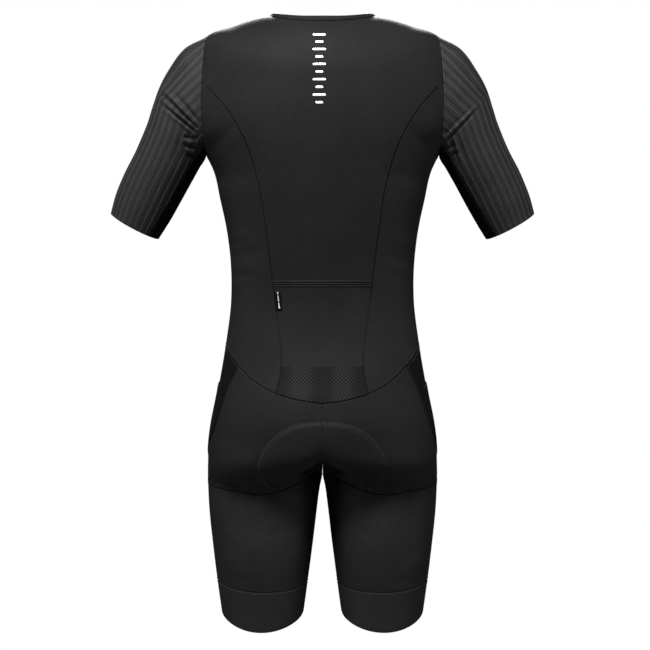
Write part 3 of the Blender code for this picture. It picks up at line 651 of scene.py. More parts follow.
def knitMaterial(name, **changes):
    # fine weft knit: rows of stitches on the cloth's own map, with soft mottling along the body
    finish = {**knitFinish, **changes}
    base, rough, grain, pitch = finish["base"], finish["roughness"], finish["grain"], finish["pitch"] * mm
    material, nodes, links, shader = nodeMaterial(name, grey(base), rough, finish["sheen"],
                                                  finish["sheenRoughness"])
    shader.inputs["Specular IOR Level"].default_value = finish["specular"]
    soft = noiseOf(nodes, links, finish["mottle"], 4.0, 0.6)
    low, high = base * (1 - finish["vary"]), base * (1 + finish["vary"])
    tone = ramp(nodes, links, soft, ((0.3, grey(low)), (0.7, grey(high))))
    knit = addNode(nodes, "ShaderNodeTexVoronoi", voronoi_dimensions="2D", Scale=1.0, Randomness=0.25)
    links.new(mapped(nodes, links, "UV", (1 / pitch, 0.7 / pitch, 1)), knit.inputs["Vector"])
    loops = ramp(nodes, links, knit.outputs["Distance"], ((0.15, even(1.12)), (0.75, even(0.72))))
    fleck = noiseOf(nodes, links, finish["fleck"], 2.0, 0.7)
    flecks = ramp(nodes, links, fleck, ((0.35, even(1 - grain)), (0.65, even(1 + grain))))
    tone = multiplied(nodes, links, multiplied(nodes, links, tone, loops), flecks)
    links.new(tone, shader.inputs["Base Color"])
    wear = ramp(nodes, links, soft, ((0.3, even(rough - 0.06)), (0.7, even(rough + 0.06))))
    links.new(wear, shader.inputs["Roughness"])
    raised = upsideDown(nodes, links, knit.outputs["Distance"])
    first = addBump(nodes, links, shader, raised, finish["bump"], 0.00025)
    crumple = noiseOf(nodes, links, finish["crumpleScale"], 3.0, 0.5)
    addBump(nodes, links, shader, crumple, finish["crumple"], 0.002, first)
    return material


suitKnit = knitMaterial("suitKnit")
sleeveKnit = knitMaterial("sleeveKnit", base=0.0128, pitch=0.9, specular=0.05)
sideKnit = knitMaterial("sideKnit", base=0.0022, roughness=0.68)
# near black: the underarm panel's own dark knit, darkened further as painted shade for the shade under the
# arm
underarmKnit = knitMaterial("underarmKnit", base=0.0008, roughness=0.7)
seatKnit = knitMaterial("seatKnit", base=0.0066)
gripperKnit = knitMaterial("gripperKnit", base=0.0098, pitch=1.1, vary=0.1)
elasticKnit = knitMaterial("elasticKnit", base=0.007, pitch=1.3)
# a darker yarn for thin strips between the sleeve ribs: painted shade, standing in for the shaded grooves
shadeYarn = knitMaterial("shadeYarn", base=0.0045, pitch=0.6)
# the raised ribs' yarn, lighter than the sleeve knit as painted highlight for the light the ribs catch
ribYarn = knitMaterial("ribYarn", base=0.032, pitch=0.6, specular=0.1)
threadGrey = knitMaterial("threadGrey", base=0.02, pitch=0.4)
threadDark = knitMaterial("threadDark", base=0.012, pitch=0.4)
threadPale = knitMaterial("threadPale", base=0.35, pitch=0.4)
padThread = knitMaterial("padThread", base=0.026, pitch=0.4)
# near-black cord: dark seam lines, and below the neckband painted shade for the shadow the band casts
cordDark = knitMaterial("cordDark", base=0.0006, pitch=0.4)
labelSatin = knitMaterial("labelSatin", base=0.0012, pitch=0.5, grain=0.05)
padKnit = knitMaterial("padKnit", base=0.03, pitch=1.4, roughness=0.8)

meshFinish = {"pitch": 4.0, "thread": 0.006, "dot": 0.014, "hole": 0.002, "roughness": 0.6, "specular": 0.03,
              "patchScale": 5.1, "patchLow": 0.7, "patchHigh": 1.3}


def makeMeshMaterial(finish):
    # open lattice: a light dot on each crossing, dark holes between
    thread = grey(finish["thread"])
    material, nodes, links, shader = nodeMaterial("pocketMeshKnit", thread, finish["roughness"], 0.003)
    shader.inputs["Specular IOR Level"].default_value = finish["specular"]
    pitch = finish["pitch"] * mm
    cells = addNode(nodes, "ShaderNodeTexVoronoi", voronoi_dimensions="2D", Scale=1.0, Randomness=0.0)
    links.new(mapped(nodes, links, "UV", (1 / pitch, 1 / pitch, 1), math.radians(45)), cells.inputs["Vector"])
    stops = ((0.16, grey(finish["dot"])), (0.24, thread), (0.42, thread), (0.55, grey(finish["hole"])))
    tone = ramp(nodes, links, cells.outputs["Distance"], stops)
    patches = addNode(nodes, "ShaderNodeTexWave", Scale=finish["patchScale"], Distortion=1.2, Detail=1.0)
    links.new(mapped(nodes, links, "Object", (1, 1, 1)), patches.inputs["Vector"])
    stops = ((0.2, even(finish["patchLow"])), (0.85, even(finish["patchHigh"])))
    patchy = ramp(nodes, links, patches.outputs["Fac"], stops)
    links.new(multiplied(nodes, links, tone, patchy), shader.inputs["Base Color"])
    addBump(nodes, links, shader, upsideDown(nodes, links, cells.outputs["Distance"]), 0.4, 0.0008)
    return material


pocketMeshKnit = makeMeshMaterial(meshFinish)


def smoothMaterial(name, base, roughness, grain, metallic):
    # a hard smooth finish, a little worn
    material, nodes, links, shader = nodeMaterial(name, grey(base), roughness, metallic=metallic)
    worn = noiseOf(nodes, links, grain, 5.0, 0.65)
    tone = ramp(nodes, links, worn, ((0.35, grey(base * 0.7)), (0.7, grey(base * 1.5))))
    links.new(tone, shader.inputs["Base Color"])
    wear = ramp(nodes, links, worn, ((0.35, even(roughness - 0.08)), (0.7, even(roughness + 0.12))))
    links.new(wear, shader.inputs["Roughness"])
    addBump(nodes, links, shader, worn, 0.1, 0.0001)
    return material


zipMetal = smoothMaterial("zipMetal", 0.11, 0.34, 900.0, 0.9)
coilNylon = smoothMaterial("coilNylon", 0.02, 0.4, 700.0, 0.0)
silverFilm = smoothMaterial("silverFilm", 0.62, 0.36, 400.0, 0.35)


def makeTape(name):
    # woven zip tape: a fine herringbone along the chest
    material, nodes, links, shader = nodeMaterial(name, grey(0.009), 0.7, 0.1)
    weave = addNode(nodes, "ShaderNodeTexWave", Scale=1.0, Distortion=0.6, Detail=1.0)
    links.new(mapped(nodes, links, "Object", (900, 10, 700)), weave.inputs["Vector"])
    tone = ramp(nodes, links, weave.outputs["Fac"], ((0.2, grey(0.006)), (0.8, grey(0.014))))
    links.new(tone, shader.inputs["Base Color"])
    addBump(nodes, links, shader, weave.outputs["Fac"], 0.3, 0.0003)
    return material


zipTape = makeTape("zipTapeWeave")
print("materials made")

# Cloth panels of the body
wall = {"cloth": 1.0, "band": 1.6, "overlay": 0.9, "overlayLift": 1.15, "overlayDip": 0.8}
seam = {"dip": 0.5, "reach": 1.4, "cell": 3.0, "hiddenCell": 4.5}
seatSeam = {"dip": 0.45, "fadeFrom": -590, "fadeOver": 60}
sideNames = ((1, "L", "Left"), (-1, "R", "Right"))
allSides = ("left", "right", "top", "bottom")


def seamDip(points, sides, dip=seam["dip"]):
    return -dip * np.exp(-(edgeDistance(points, sides) / seam["reach"]) ** 2)


def panelGrid(at, side, width, length, cell, sides, lift=0.0, extra=None):
    a, d = at(*np.meshgrid(spacing(width, cell), spacing(length, cell)))
    points, normals = bodySurface(a, d, side, np.zeros_like(a) + lift)
    move = seamDip(points, sides)
    if extra is not None:
        move = move + extra(points, d)
    return patch(points + normals * move[..., None], side)


def makePanel(name, node, slot, material, at, width, length, cell, sides=allSides, thickness=wall["cloth"],
              lift=0.0, extra=None):
    for side, mark, word in sideNames:
        grid = panelGrid(at, side, width, length, cell, sides, lift, extra)
        makeSheet(name + word, [grid], material, thickness, slot, node + "_" + mark)


backGrids = [panelGrid(backAt, side, 150, 660, seam["cell"], ("right", "top", "bottom")) for side in (1, -1)]
makeSheet("backCentreCloth", backGrids, suitKnit, wall["cloth"], "suit_cloth", "back_centre")
makePanel("backSideCloth", "back_side", "suit_cloth", suitKnit, backSideAt, 95, 440, seam["cell"],
          ("left", "right", "bottom"))
makePanel("frontCloth", "front", "suit_cloth", suitKnit, frontAt, 190, 590, seam["hiddenCell"])


def seatSeamDip(points, down):
    # the centre seam shows near the waist only, and the pad fills it below
    fade = np.clip((points[..., 2] - seatSeam["fadeFrom"]) / seatSeam["fadeOver"], 0, 1)
    return -seatSeam["dip"] * fade * np.exp(-(points[..., 0] / seam["reach"]) ** 2)


makePanel("seatCloth", "seat", "suit_cloth", seatKnit, seatAt, 175, 180, seam["cell"],
          ("right", "top", "bottom"), extra=seatSeamDip)
makePanel("hipCloth", "hip_panel", "side_cloth", sideKnit, hipAt, 95, 170, seam["cell"],
          ("left", "right", "top"))
makePanel("thighBackCloth", "thigh_back", "suit_cloth", suitKnit, thighAt, 230, 140, seam["cell"])
makePanel("gripperCloth", "gripper", "gripper_cloth", gripperKnit, gripperAt, 440, 45, seam["cell"],
          ("top", "bottom"), wall["band"])
print("back, seat and leg panels made")

frontLegShare = 0.62    # how much of the front piece's rows lie above the thigh


def frontLegAt(across, along):
    # the shorts' front and the leg's front are one piece
    high = shortsFrontAt(across, np.clip(along / frontLegShare, 0, 1))
    low = legFrontAt(across, np.clip((along - frontLegShare) / (1 - frontLegShare), 0, 1))
    over = along < frontLegShare
    highAngle = np.where(high[0] > 180, high[0] - 360, high[0])
    return np.where(over, highAngle, low[0]), np.where(over, high[1], low[1])


makePanel("legFrontCloth", "leg_front", "suit_cloth", suitKnit, frontLegAt, 230, 370, seam["hiddenCell"])
print("legs made")

# Sleeves, with raised ribs running down each one, their yarn lighter as painted highlight, and thin dark
# strips of painted shade between them
sleeveFit = {"width": 300, "length": 215, "underWidth": 90, "lastRing": 9.0, "cell": 2.0}
rib = {"turn": 13.3, "first": -146.3, "last": 146.0, "half": 0.55, "height": 0.45, "shadeAt": 0.5,
       "shadeHeight": 0.12, "step": 0.09, "foldRing": 3.5, "foldTurn": 165, "armRadius": 56.0,
       "edgeGap": 2.0, "mostLean": 24.0, "blendRings": 0.4, "plainTurn": 14.0, "blendTurn": 20.0}
ribProfile = ((-1.0, -0.12), (-0.55, 0.72), (0.0, 1.0), (0.55, 0.72), (1.0, -0.12))


def sleeveEdge(ring):
    return sleeveCurves["edge"](ring)


def sleeveGrid(side, under, width, cell):
    rings = spacing(sleeveFit["length"], cell) * sleeveFit["lastRing"]
    share, ring = np.meshgrid(spacing(width, cell), rings)
    edge = sleeveEdge(ring)
    turn = mix(360 - edge, edge, share) if under else mix(edge, -edge, share)
    points, normals = sleeveSurface(turn, ring, side)
    return patch(points + normals * seamDip(points, ("left", "right", "top"))[..., None], side)


def halved(low, high, isBelow, steps):
    # closes in on where isBelow turns false
    for _ in range(steps):
        middle = (low + high) / 2
        below = isBelow(middle)
        low, high = np.where(below, middle, low), np.where(below, high, middle)
    return (low + high) / 2


def ribTurns(turn, rings):
    # above the fold a rib runs straight to the armhole, below it keeps its place round the arm
    fold = rib["foldRing"] * (1 - (turn / rib["foldTurn"]) ** 2)
    start, end = (sleevePoint(np.array([turn]), np.array([r]))[0] for r in (0.0, fold))
    along = end - start

    def isBelow(middle):
        spot = sleevePoint(middle, rings) - start
        outside = spot[..., 0] * along[2] - spot[..., 2] * along[0] < 0
        return outside if turn >= 0 else ~outside

    low, high = (0.0, 160.0) if turn > 0 else (-160.0, 0.0)
    straight = halved(np.full(rings.shape, low), np.full(rings.shape, high), isBelow, 30)
    straight = np.clip(straight, turn - rib["mostLean"], turn + rib["mostLean"])
    share = np.clip((fold - rings) / rib["blendRings"], 0, 1)
    share = share * np.clip((abs(turn) - rib["plainTurn"]) / rib["blendTurn"], 0, 1)
    return mix(turn, straight, share)


def ribGrid(turn, side, tall):
    rings = np.arange(0, sleeveFit["lastRing"] + rib["step"] / 2, rib["step"])
    rings = rings[sleeveEdge(rings) > abs(turn) + rib["edgeGap"]]
    offsets, heights = np.array(ribProfile).T
    offset, ring = np.meshgrid(offsets, rings)
    turns = ribTurns(turn, rings)[:, None] - np.degrees(offset * rib["half"] / rib["armRadius"])
    points, _ = sleeveSurface(turns, ring, side, (heights * tall)[None, :] + 0 * ring)
    uv = np.stack([offset * rib["half"], -runLengths(points, 0)], -1)
    return points, uv, side < 0


for side, mark, word in sideNames:
    grid = sleeveGrid(side, False, sleeveFit["width"], sleeveFit["cell"])
    makeSheet("sleeveCloth" + word, [grid], sleeveKnit, wall["cloth"], "rib_cloth", "sleeve_" + mark)
    # the underarm panel, its knit darkened partly as painted shade
    grid = sleeveGrid(side, True, sleeveFit["underWidth"], seam["cell"])
    makeSheet("underarmCloth" + word, [grid], underarmKnit, wall["cloth"], "side_cloth", "underarm_" + mark)
    turns = np.arange(rib["first"], rib["last"], rib["turn"])
    between = turns[:-1] + rib["turn"] * rib["shadeAt"]
    # the raised ribs, in a lighter yarn that is painted highlight
    ribs = [ribGrid(t, side, rib["height"]) for t in turns]
    place(gridMesh("sleeveRibs" + word, ribs, ribYarn), "rib_cloth")
    # thin dark strips between the ribs: painted shade for the shaded side of each rib
    shades = [ribGrid(t, side, rib["shadeHeight"]) for t in between]
    place(gridMesh("sleeveShadeRibs" + word, shades, shadeYarn), "rib_cloth")
print("sleeves made")

# Neckband
neckband = {"height": 8.0, "lean": 0.25, "sideLean": 1.7, "bulge": 0.5, "lift": 0.15, "rows": 11,
            "columns": 150, "overlap": 1.2, "endX": 0.5}


def bandSurface(angle, up, side, lift=0.0):
    turn = np.radians(angle)
    inward = (-neckband["sideLean"] * np.cos(turn), -neckband["lean"] * np.sin(turn), np.ones_like(turn))
    lean = unit(np.stack(inward, -1))
    line = neckLine + 0 * angle
    step = bodyPoint(angle - 0.4, line) - bodyPoint(angle + 0.4, line)
    normal = unit(np.cross(step, -lean))
    return mirrorTo(side, bodyPoint(angle, line) + lean * up[..., None] + normal * lift[..., None], normal)


def bandGrid(side):
    angles = np.linspace(90, -float(angleOf(neckband["endX"], neckLine)), neckband["columns"])
    ups = np.linspace(neckband["height"], -neckband["overlap"], neckband["rows"])
    angle, up = np.meshgrid(angles, ups)
    rounded = np.sin(np.pi * np.clip(up / neckband["height"], 0, 1))
    points, _ = bandSurface(angle, up, side, neckband["bulge"] * rounded + neckband["lift"])
    return patch(points, side)


bandGrids = [bandGrid(side) for side in (1, -1)]
makeSheet("neckbandCloth", bandGrids, elasticKnit, wall["band"], "elastic", "neckband")

# Back pocket: elastic edge, panel and mesh strip over the back
pocket = {"top": 362.0, "bandEnd": 372.0, "meshTop": 489.0, "ridges": 3, "ridgeHeight": 1.0, "gape": 1.6,
          "sag": 0.48, "width": 75, "halfWidth": 74, "bulgeRun": 90}


def pocketAt(top, bottom):
    def at(across, along):
        down = mix(pocket[top], pocket[bottom], along)
        return mix(90, princessAngle(down), across), down

    return at


def meshAt(across, along):
    return settled(across, along, level(pocket["meshTop"]), waistDown, level(90.0), princessAngle)


def pocketBulge(points, down):
    # the open edge stands off the back a little, most in the middle
    middle = np.clip(1 - (points[..., 0] / pocket["halfWidth"]) ** 2, 0, 1)
    share = np.clip((down - pocket["top"]) / pocket["bulgeRun"], 0, 1)
    return middle * (pocket["gape"] * (1 - share) ** 2 + pocket["sag"] * np.sin(np.pi * share))


def bandRidges(points, down):
    share = (down - pocket["top"]) / (pocket["bandEnd"] - pocket["top"])
    ridge = 0.5 - 0.5 * np.cos(2 * np.pi * pocket["ridges"] * share)
    return pocketBulge(points, down) + pocket["ridgeHeight"] * ridge


def overlay(name, node, slot, material, at, length, cellAlong, extra):
    grids = []
    for side in (1, -1):
        across, along = spacing(pocket["width"], seam["cell"]), spacing(length, cellAlong, (0.0, 0.5, 1.0))
        a, d = at(*np.meshgrid(across, along))
        points, normals = bodySurface(a, d, side, wall["overlayLift"] + np.zeros_like(a))
        move = extra(points, d) + seamDip(points, ("right",), wall["overlayDip"])
        grids.append(patch(points + normals * move[..., None], side))
    makeSheet(name, grids, material, wall["overlay"], slot, node)


overlay("pocketEdgeElastic", "pocket_band", "elastic", elasticKnit, pocketAt("top", "bandEnd"), 10, 0.7,
        bandRidges)
overlay("pocketPanelCloth", "pocket_panel", "suit_cloth", suitKnit, pocketAt("bandEnd", "meshTop"), 117,
        seam["cell"], pocketBulge)
overlay("pocketMeshCloth", "pocket_mesh", "mesh_cloth", pocketMeshKnit, meshAt, 50, 2.0, pocketBulge)

hipPocket = {"fromSide": 0.04, "toSide": 0.96, "top": 0.33, "bottom": 0.97, "hem": 0.5, "hemReach": 9.0}


def hipPocketAt(across, along):
    return hipAt(mix(hipPocket["fromSide"], hipPocket["toSide"], across),
                 mix(hipPocket["top"], hipPocket["bottom"], along))


def hemLift(points, down):
    return hipPocket["hem"] * np.exp(-(runLengths(points, 0) / hipPocket["hemReach"]) ** 2)


makePanel("hipPocketCloth", "hip_pocket", "side_cloth", sideKnit, hipPocketAt, 80, 110, seam["cell"],
          ("left", "right"), wall["overlay"], wall["overlayLift"], hemLift)

# Folded loop label in the pocket's side seam, left plain
label = {"near": 61.5, "far": 70.5, "top": 378.0, "bottom": 405.0, "rows": 12, "columns": 17, "high": 3.4,
         "low": 1.9, "wall": 0.35, "foldFrom": 0.4, "foldTo": 0.6, "foldReach": 0.8, "slant": 0.1,
         "curl": 0.25}


def labelGrid():
    turn = np.linspace(0, 1, label["columns"])
    first, last, inner = label["foldFrom"], label["foldTo"], label["near"] + label["foldReach"]
    fold = np.clip((turn - first) / (last - first), 0, 1)
    out, back = mix(label["far"], inner, turn / first), mix(inner, label["far"], (turn - last) / (1 - last))
    folded = inner - label["foldReach"] * np.sin(np.pi * fold)
    x = np.where(turn < first, out, np.where(turn > last, back, folded))
    up = mix(label["high"], label["low"], 0.5 - 0.5 * np.cos(np.pi * fold))
    x, down = np.meshgrid(x, np.linspace(label["top"], label["bottom"], label["rows"]))
    below = down - label["top"]
    up = up + label["curl"] * np.sin(below / 7)
    points, _ = bodySurface(angleOf(x - below * label["slant"], down), down, 1, up)
    return points, np.stack([runLengths(points, 1), -runLengths(points, 0)], -1), True


makeSheet("pocketLoopLabel", [labelGrid()], labelSatin, label["wall"], "elastic", "label")
print("neckband, pockets and label made")

# Seat pad, inside the seat. Each spoke: where it starts on the centre line, its end's angle and its end
padSpokes = ((581, 81, 583), (590, 73, 594), (602, 70, 612), (615, 75, 630), (627, 88, 650),
             (638, 100, 668), (646, 128, 677), (650, 180, 682), (646, 218, 670), (639, 240, 658),
             (628, 258, 642), (614, 270, 624), (602, 276, 608))
pad = {"rows": 72, "columns": 26, "middle": 6.5, "edge": 2.2, "depthBack": 11.0, "depthFront": 10.0,
       "channel": 2.4, "channelAt": 0.28, "channelWidth": 0.07, "centreShare": 0.8, "centreWidth": 0.05,
       "lowest": 7, "taper": 2.2, "least": 1.4, "smoothings": 10}


def padNormals(angle, down):
    e = 0.5
    normal = unit(np.cross(bodyPoint(angle - e, down) - bodyPoint(angle + e, down),
                           bodyPoint(angle, down + e) - bodyPoint(angle, down - e)))
    normal[:, 0, 0] = 0
    normal = unit(normal)
    for _ in range(pad["smoothings"]):
        smooth = normal.copy()
        smooth[1:-1] = (normal[:-2] + 2 * normal[1:-1] + normal[2:]) / 4
        smooth[:, 1:-1] = (smooth[:, :-2] + 2 * smooth[:, 1:-1] + smooth[:, 2:]) / 4
        normal = unit(smooth)
        normal[:, 0, 0] = 0
    return normal


def padGrid(side):
    # the pad's outer and inner layers, one half
    last = len(padSpokes) - 1
    spoke = np.linspace(0, last, pad["rows"])
    centre, edgeAngle, edgeDown = (np.interp(spoke, range(last + 1), column) for column in zip(*padSpokes))
    isFront = spoke > pad["lowest"]
    centreAngle = np.where(isFront, 360 - lastAngle(centre), lastAngle(centre))
    share, _ = np.meshgrid(np.linspace(0, 1, pad["columns"]), spoke)
    angle = mix(centreAngle[:, None], edgeAngle[:, None], share)
    down = mix(centre[:, None], edgeDown[:, None], share)
    base, normal = bodyPoint(angle, down), padNormals(angle, down)
    base[:, 0, 0] = 0
    turnsAt = (0, pad["lowest"] - 1, pad["lowest"] + 1, last)
    depth = np.interp(spoke, turnsAt, (pad["depthBack"],) * 2 + (pad["depthFront"],) * 2)[:, None]
    depth = depth - tuckRelief(base) * np.clip(base[..., 1] / uneven["fade"], 0, 1)
    outer = base - normal * depth[..., None]
    end = np.clip(np.minimum(spoke, last - spoke) / pad["taper"], 0, 1)[:, None]
    crown = mix(pad["edge"], pad["middle"], np.sqrt(end) * (1 - share**2))
    channels = np.exp(-((share - pad["channelAt"]) / pad["channelWidth"]) ** 2)
    channels = channels + pad["centreShare"] * np.exp(-(share / pad["centreWidth"]) ** 2)
    crown = crown - pad["channel"] * end * channels
    inner = outer - normal * np.maximum(crown, pad["least"])[..., None]
    return [mirrorTo(side, layer)[0] for layer in (outer, inner)]


def makePad():
    points, faces, base = [], [], 0
    for side in (1, -1):
        outer, inner = padGrid(side)
        rows, columns = outer.shape[:2]
        for layer, flip in ((outer, side > 0), (inner, side < 0)):
            points.append(layer.reshape(-1, 3))
            faces += [[base + k for k in f] for f in gridFaces(rows, columns, flip)]
            base += rows * columns
        low, high = base - 2 * rows * columns, base - rows * columns
        rim = list(range(columns)) + [r * columns + columns - 1 for r in range(1, rows)]
        rim += [(rows - 1) * columns + k for k in range(columns - 2, -1, -1)]
        for a, b in zip(rim, rim[1:]):
            quad = [low + a, low + b, high + b, high + a]
            faces.append(quad if side > 0 else quad[::-1])
    obj = newObject("seatPad", np.concatenate(points), faces, padKnit)
    bm = bmesh.new()
    bm.from_mesh(obj.data)
    bmesh.ops.remove_doubles(bm, verts=bm.verts, dist=weldDistance)
    bmesh.ops.recalc_face_normals(bm, faces=bm.faces)
    layer = bm.loops.layers.uv.new("cloth")
    for face in bm.faces:
        for loop in face.loops:
            loop[layer].uv = loop.vert.co.xz
    bm.to_mesh(obj.data)
    bm.free()
    place(obj, "pad_foam", "seat_pad")


makePad()
print("seat pad made")

# Stitching: small thread bumps, joined into one mesh for each thread
stitch = {"pitch": 3.0, "length": 2.2, "width": 0.55, "height": 0.32, "sink": 0.15, "topWidth": 0.55,
          "topLength": 0.75}
bumpFaces = ((4, 5, 6, 7), (0, 1, 5, 4), (1, 2, 6, 5), (2, 3, 7, 6), (3, 0, 4, 7), (3, 2, 1, 0))


def stitchMesh(starts, ends, normals, width, height):
    centre, along = (starts + ends) / 2, ends - starts
    length = np.linalg.norm(along, axis=1, keepdims=True)
    along = along / np.maximum(length, 1e-6)
    beside = unit(np.cross(normals, along))
    corners = []
    for long, wide, up in ((1.0, 1.0, -stitch["sink"]), (stitch["topLength"], stitch["topWidth"], height)):
        for s, t in ((-1, -1), (1, -1), (1, 1), (-1, 1)):
            end, edge = along * length / 2 * s * long, beside * t * width / 2 * wide
            corners.append(centre + end + edge + normals * up)
    base = np.arange(len(centre))[:, None] * 8
    return np.stack(corners, 1).reshape(-1, 3), np.concatenate([base + np.array(q) for q in bumpFaces])


def resample(points, normals, pitch):
    gone = np.concatenate([[0], np.cumsum(np.linalg.norm(np.diff(points, axis=0), axis=1))])
    at = np.arange(0, gone[-1], pitch)
    read = lambda v: np.stack([np.interp(at, gone, v[:, k]) for k in range(3)], 1)
    return read(points), unit(read(normals))


def threadRow(path, offset=0.0, **sizes):
    size = {**stitch, **sizes}
    spots, up = resample(*path, size["pitch"])
    along = unit(np.gradient(spots, axis=0))
    spots = spots + unit(np.cross(up, along)) * offset
    reach = along * size["length"] / 2
    return stitchMesh(spots - reach, spots + reach, up, size["width"], size["height"])


def twinRows(path, apart, **sizes):
    return [threadRow(path, offset, **sizes) for offset in (-apart, apart)]


def cordRow(path, width, height):
    points, normals = path
    return stitchMesh(points[:-1], points[1:], normals[:-1], width, height)


def threadObject(name, rows, material, slot):
    points, faces, base = [], [], 0
    for p, f in rows:
        points.append(p)
        faces.append(f + base)
        base += len(p)
    thread = newObject(name, np.concatenate(points), np.concatenate(faces).tolist(), material, smooth=False)
    place(thread, slot)


def bodyPath(angles, downs, side, lift=0.1):
    angles, downs = np.broadcast_arrays(np.asarray(angles, float), np.asarray(downs, float))
    return bodySurface(angles, downs, side, lift + np.zeros(angles.shape))


def run(start, end, step=2.0):
    return np.linspace(start, end, max(3, int(abs(end - start) / step)))


def thighPath(share, side, above=0.0, lift=0.1):
    return bodyPath(mix(180, sideSeamAngle, share), thighBack(share) - above, side, lift)


# Dark cords in the seams that show most; the one just below the neckband is painted shade, standing in for
# the shadow under the band's lower edge
neckShadeCord = {"below": 1.1, "lift": 0.05, "width": 1.5, "height": 0.3}
seamCord = {"lift": 0.0, "width": 0.6, "thighWidth": 1.3, "height": 0.15}
neckShadeRows, seamRows = [], []
for side in (1, -1):
    angles = run(90, -float(angleOf(0.8, neckLine)), 1.0)
    path = bodyPath(angles, neckLine + neckShadeCord["below"], side, neckShadeCord["lift"])
    neckShadeRows.append(cordRow(path, neckShadeCord["width"], neckShadeCord["height"]))
    downs = run(princessSeam[0][0] + 2, 536, 1.5)
    angles = run(90, -88, 1.0)
    for path, width in (
        (bodyPath(princessAngle(downs), downs, side, seamCord["lift"]), seamCord["width"]),
        (thighPath(run(0.03, 0.99, 0.008), side, 0.0, seamCord["lift"]), seamCord["thighWidth"]),
        (bodyPath(angles, waistDown(angles), side, seamCord["lift"]), seamCord["width"]),
    ):
        seamRows.append(cordRow(path, width, seamCord["height"]))
threadObject("neckSeamCord", neckShadeRows, cordDark, "elastic")
threadObject("seamCords", seamRows, cordDark, "suit_cloth")

# Twin and single rows of stitches beside the seams: from a seam to its stitches
torsoApart, shortsApart, sideApart, armholeInside = 2.4, 2.3, 2.2, 2.6
darkRows, greyRows, gripperRows = [], [], []
for side in (1, -1):
    downs = run(princessSeam[0][0] + 3, 534)
    darkRows += twinRows(bodyPath(princessAngle(downs), downs, side), torsoApart)
    downs = run(armpitLine + 4, 455)
    darkRows += twinRows(bodyPath(sideAngle(downs), downs, side), torsoApart)
    downs = run(hipTip, 815)
    darkRows += twinRows(bodyPath(sideAngle(downs), downs, side), sideApart)
    angles = run(90, -88, 1.0)
    greyRows += twinRows(bodyPath(angles, waistDown(angles), side), shortsApart, width=0.5)
    downs = run(470, 632)
    darkRows.append(threadRow(bodyPath(hipBack(downs), downs, side), shortsApart))
    darkRows.append(threadRow(bodyPath(hipFront(downs), downs, side), -shortsApart))
    darkRows += twinRows(thighPath(run(0.02, 0.98, 0.01), side), shortsApart)
    angles = run(179, -179, 1.5)
    gripperRows.append(threadRow(bodyPath(angles, gripperDown(angles) + 2.2, side), width=0.6, length=2.6))
    darkRows.append(threadRow(bodyPath(angles, gripperDown(angles) - 2.4, side)))
    downs = run(-112, -2)
    darkRows += twinRows(bodyPath(frontSideAngle(downs), downs, side), shortsApart)
    turns = run(2, 168, 1.5)
    down = armpitLine * (1 - np.cos(np.radians(turns))) / 2
    darkRows.append(threadRow(bodyPath(armholeAngle(down), down, side), -armholeInside))
    rings = run(0.15, 8.95, 0.08)
    for edge in (1, -1):
        path = sleeveSurface(edge * sleeveEdge(rings), rings, side, 0.1 + 0 * rings)
        darkRows += twinRows(path, sideApart)
    angles = run(90, -float(angleOf(0.8, neckLine)), 1.0)
    for up in (2.0, 4.6):
        path = bandSurface(angles, up + 0 * angles, side, 0.45 + 0 * angles)
        greyRows.append(threadRow(path, width=0.45, pitch=2.6, length=1.9))
threadObject("seamStitches", darkRows, threadDark, "suit_cloth")
threadObject("waistAndNeckStitches", greyRows, threadGrey, "suit_cloth")
threadObject("gripperStitches", gripperRows, threadGrey, "gripper_cloth")


def downAt(x, z):
    # how far down the back a point at this x and height is
    isAbove = lambda down: bodyPoint(fullAngle(x, down), down)[..., 2] > z
    return halved(np.full(np.shape(z), neckLine), np.full(np.shape(z), hemLine), isAbove, 26)


# Overcast stitches round the pad: one slanted thread at each step, across the line
zigzag = {"half": 3.8, "pitch": 4.6, "lean": 1.3, "width": 1.0, "height": 0.55, "aboveSeam": 5.3, "lift": 0.2,
          "lowFrom": 0.05, "lowTo": 0.37, "seamCorner": 9}


def slantRow(path):
    spots, up = resample(*path, zigzag["pitch"])
    along = unit(np.gradient(spots, axis=0))
    reach = unit(np.cross(up, along)) * zigzag["half"] + along * zigzag["lean"]
    return stitchMesh(spots - reach, spots + reach, up, zigzag["width"], zigzag["height"])


outline = np.array(padOutline, float)
gone = np.concatenate([[0], np.cumsum(np.hypot(*np.diff(outline, axis=0).T))])
at = np.linspace(0, gone[-1], 200)
at = at[at < gone[zigzag["seamCorner"]]]    # past this corner the edge runs along the thigh seam
outX, outZ = np.interp(at, gone, outline[:, 0]), np.interp(at, gone, outline[:, 1])
down = downAt(outX, outZ)
lowShare = run(zigzag["lowFrom"], zigzag["lowTo"], 0.01)
padRows = []
for side in (1, -1):
    padRows.append(slantRow(thighPath(lowShare, side, zigzag["aboveSeam"], zigzag["lift"])))
    padRows.append(slantRow(bodyPath(fullAngle(outX, down), down, side, zigzag["lift"])))
threadObject("padZigzagStitches", padRows, padThread, "suit_cloth")
print("stitching made")

# Plain pale threads woven into the loop label: where each starts and ends
labelMarks = ((1.0, 4.6), (6.2, 15.2), (16.8, 25.4))
mark = {"in": 3.6, "lift": 0.05, "width": 2.2, "height": 0.25}
markRows = []
for start, end in labelMarks:
    downs = label["top"] + run(start, end, 1.5)
    x = label["near"] + mark["in"] - (downs - label["top"]) * label["slant"]
    path = bodyPath(angleOf(x, downs), downs, 1, label["high"] + mark["lift"])
    markRows.append(cordRow(path, mark["width"], mark["height"]))
threadObject("labelThreads", markRows, threadPale, "elastic")

# Plain silver bars down the upper back
bars = {"centreX": 4.5, "top": -4.0, "pitch": 11.3, "count": 10, "height": 3.2, "long": 19.0, "short": 11.0,
        "lift": 0.12, "wall": 0.22, "columns": 21, "rows": 5, "leastHeight": 0.05}


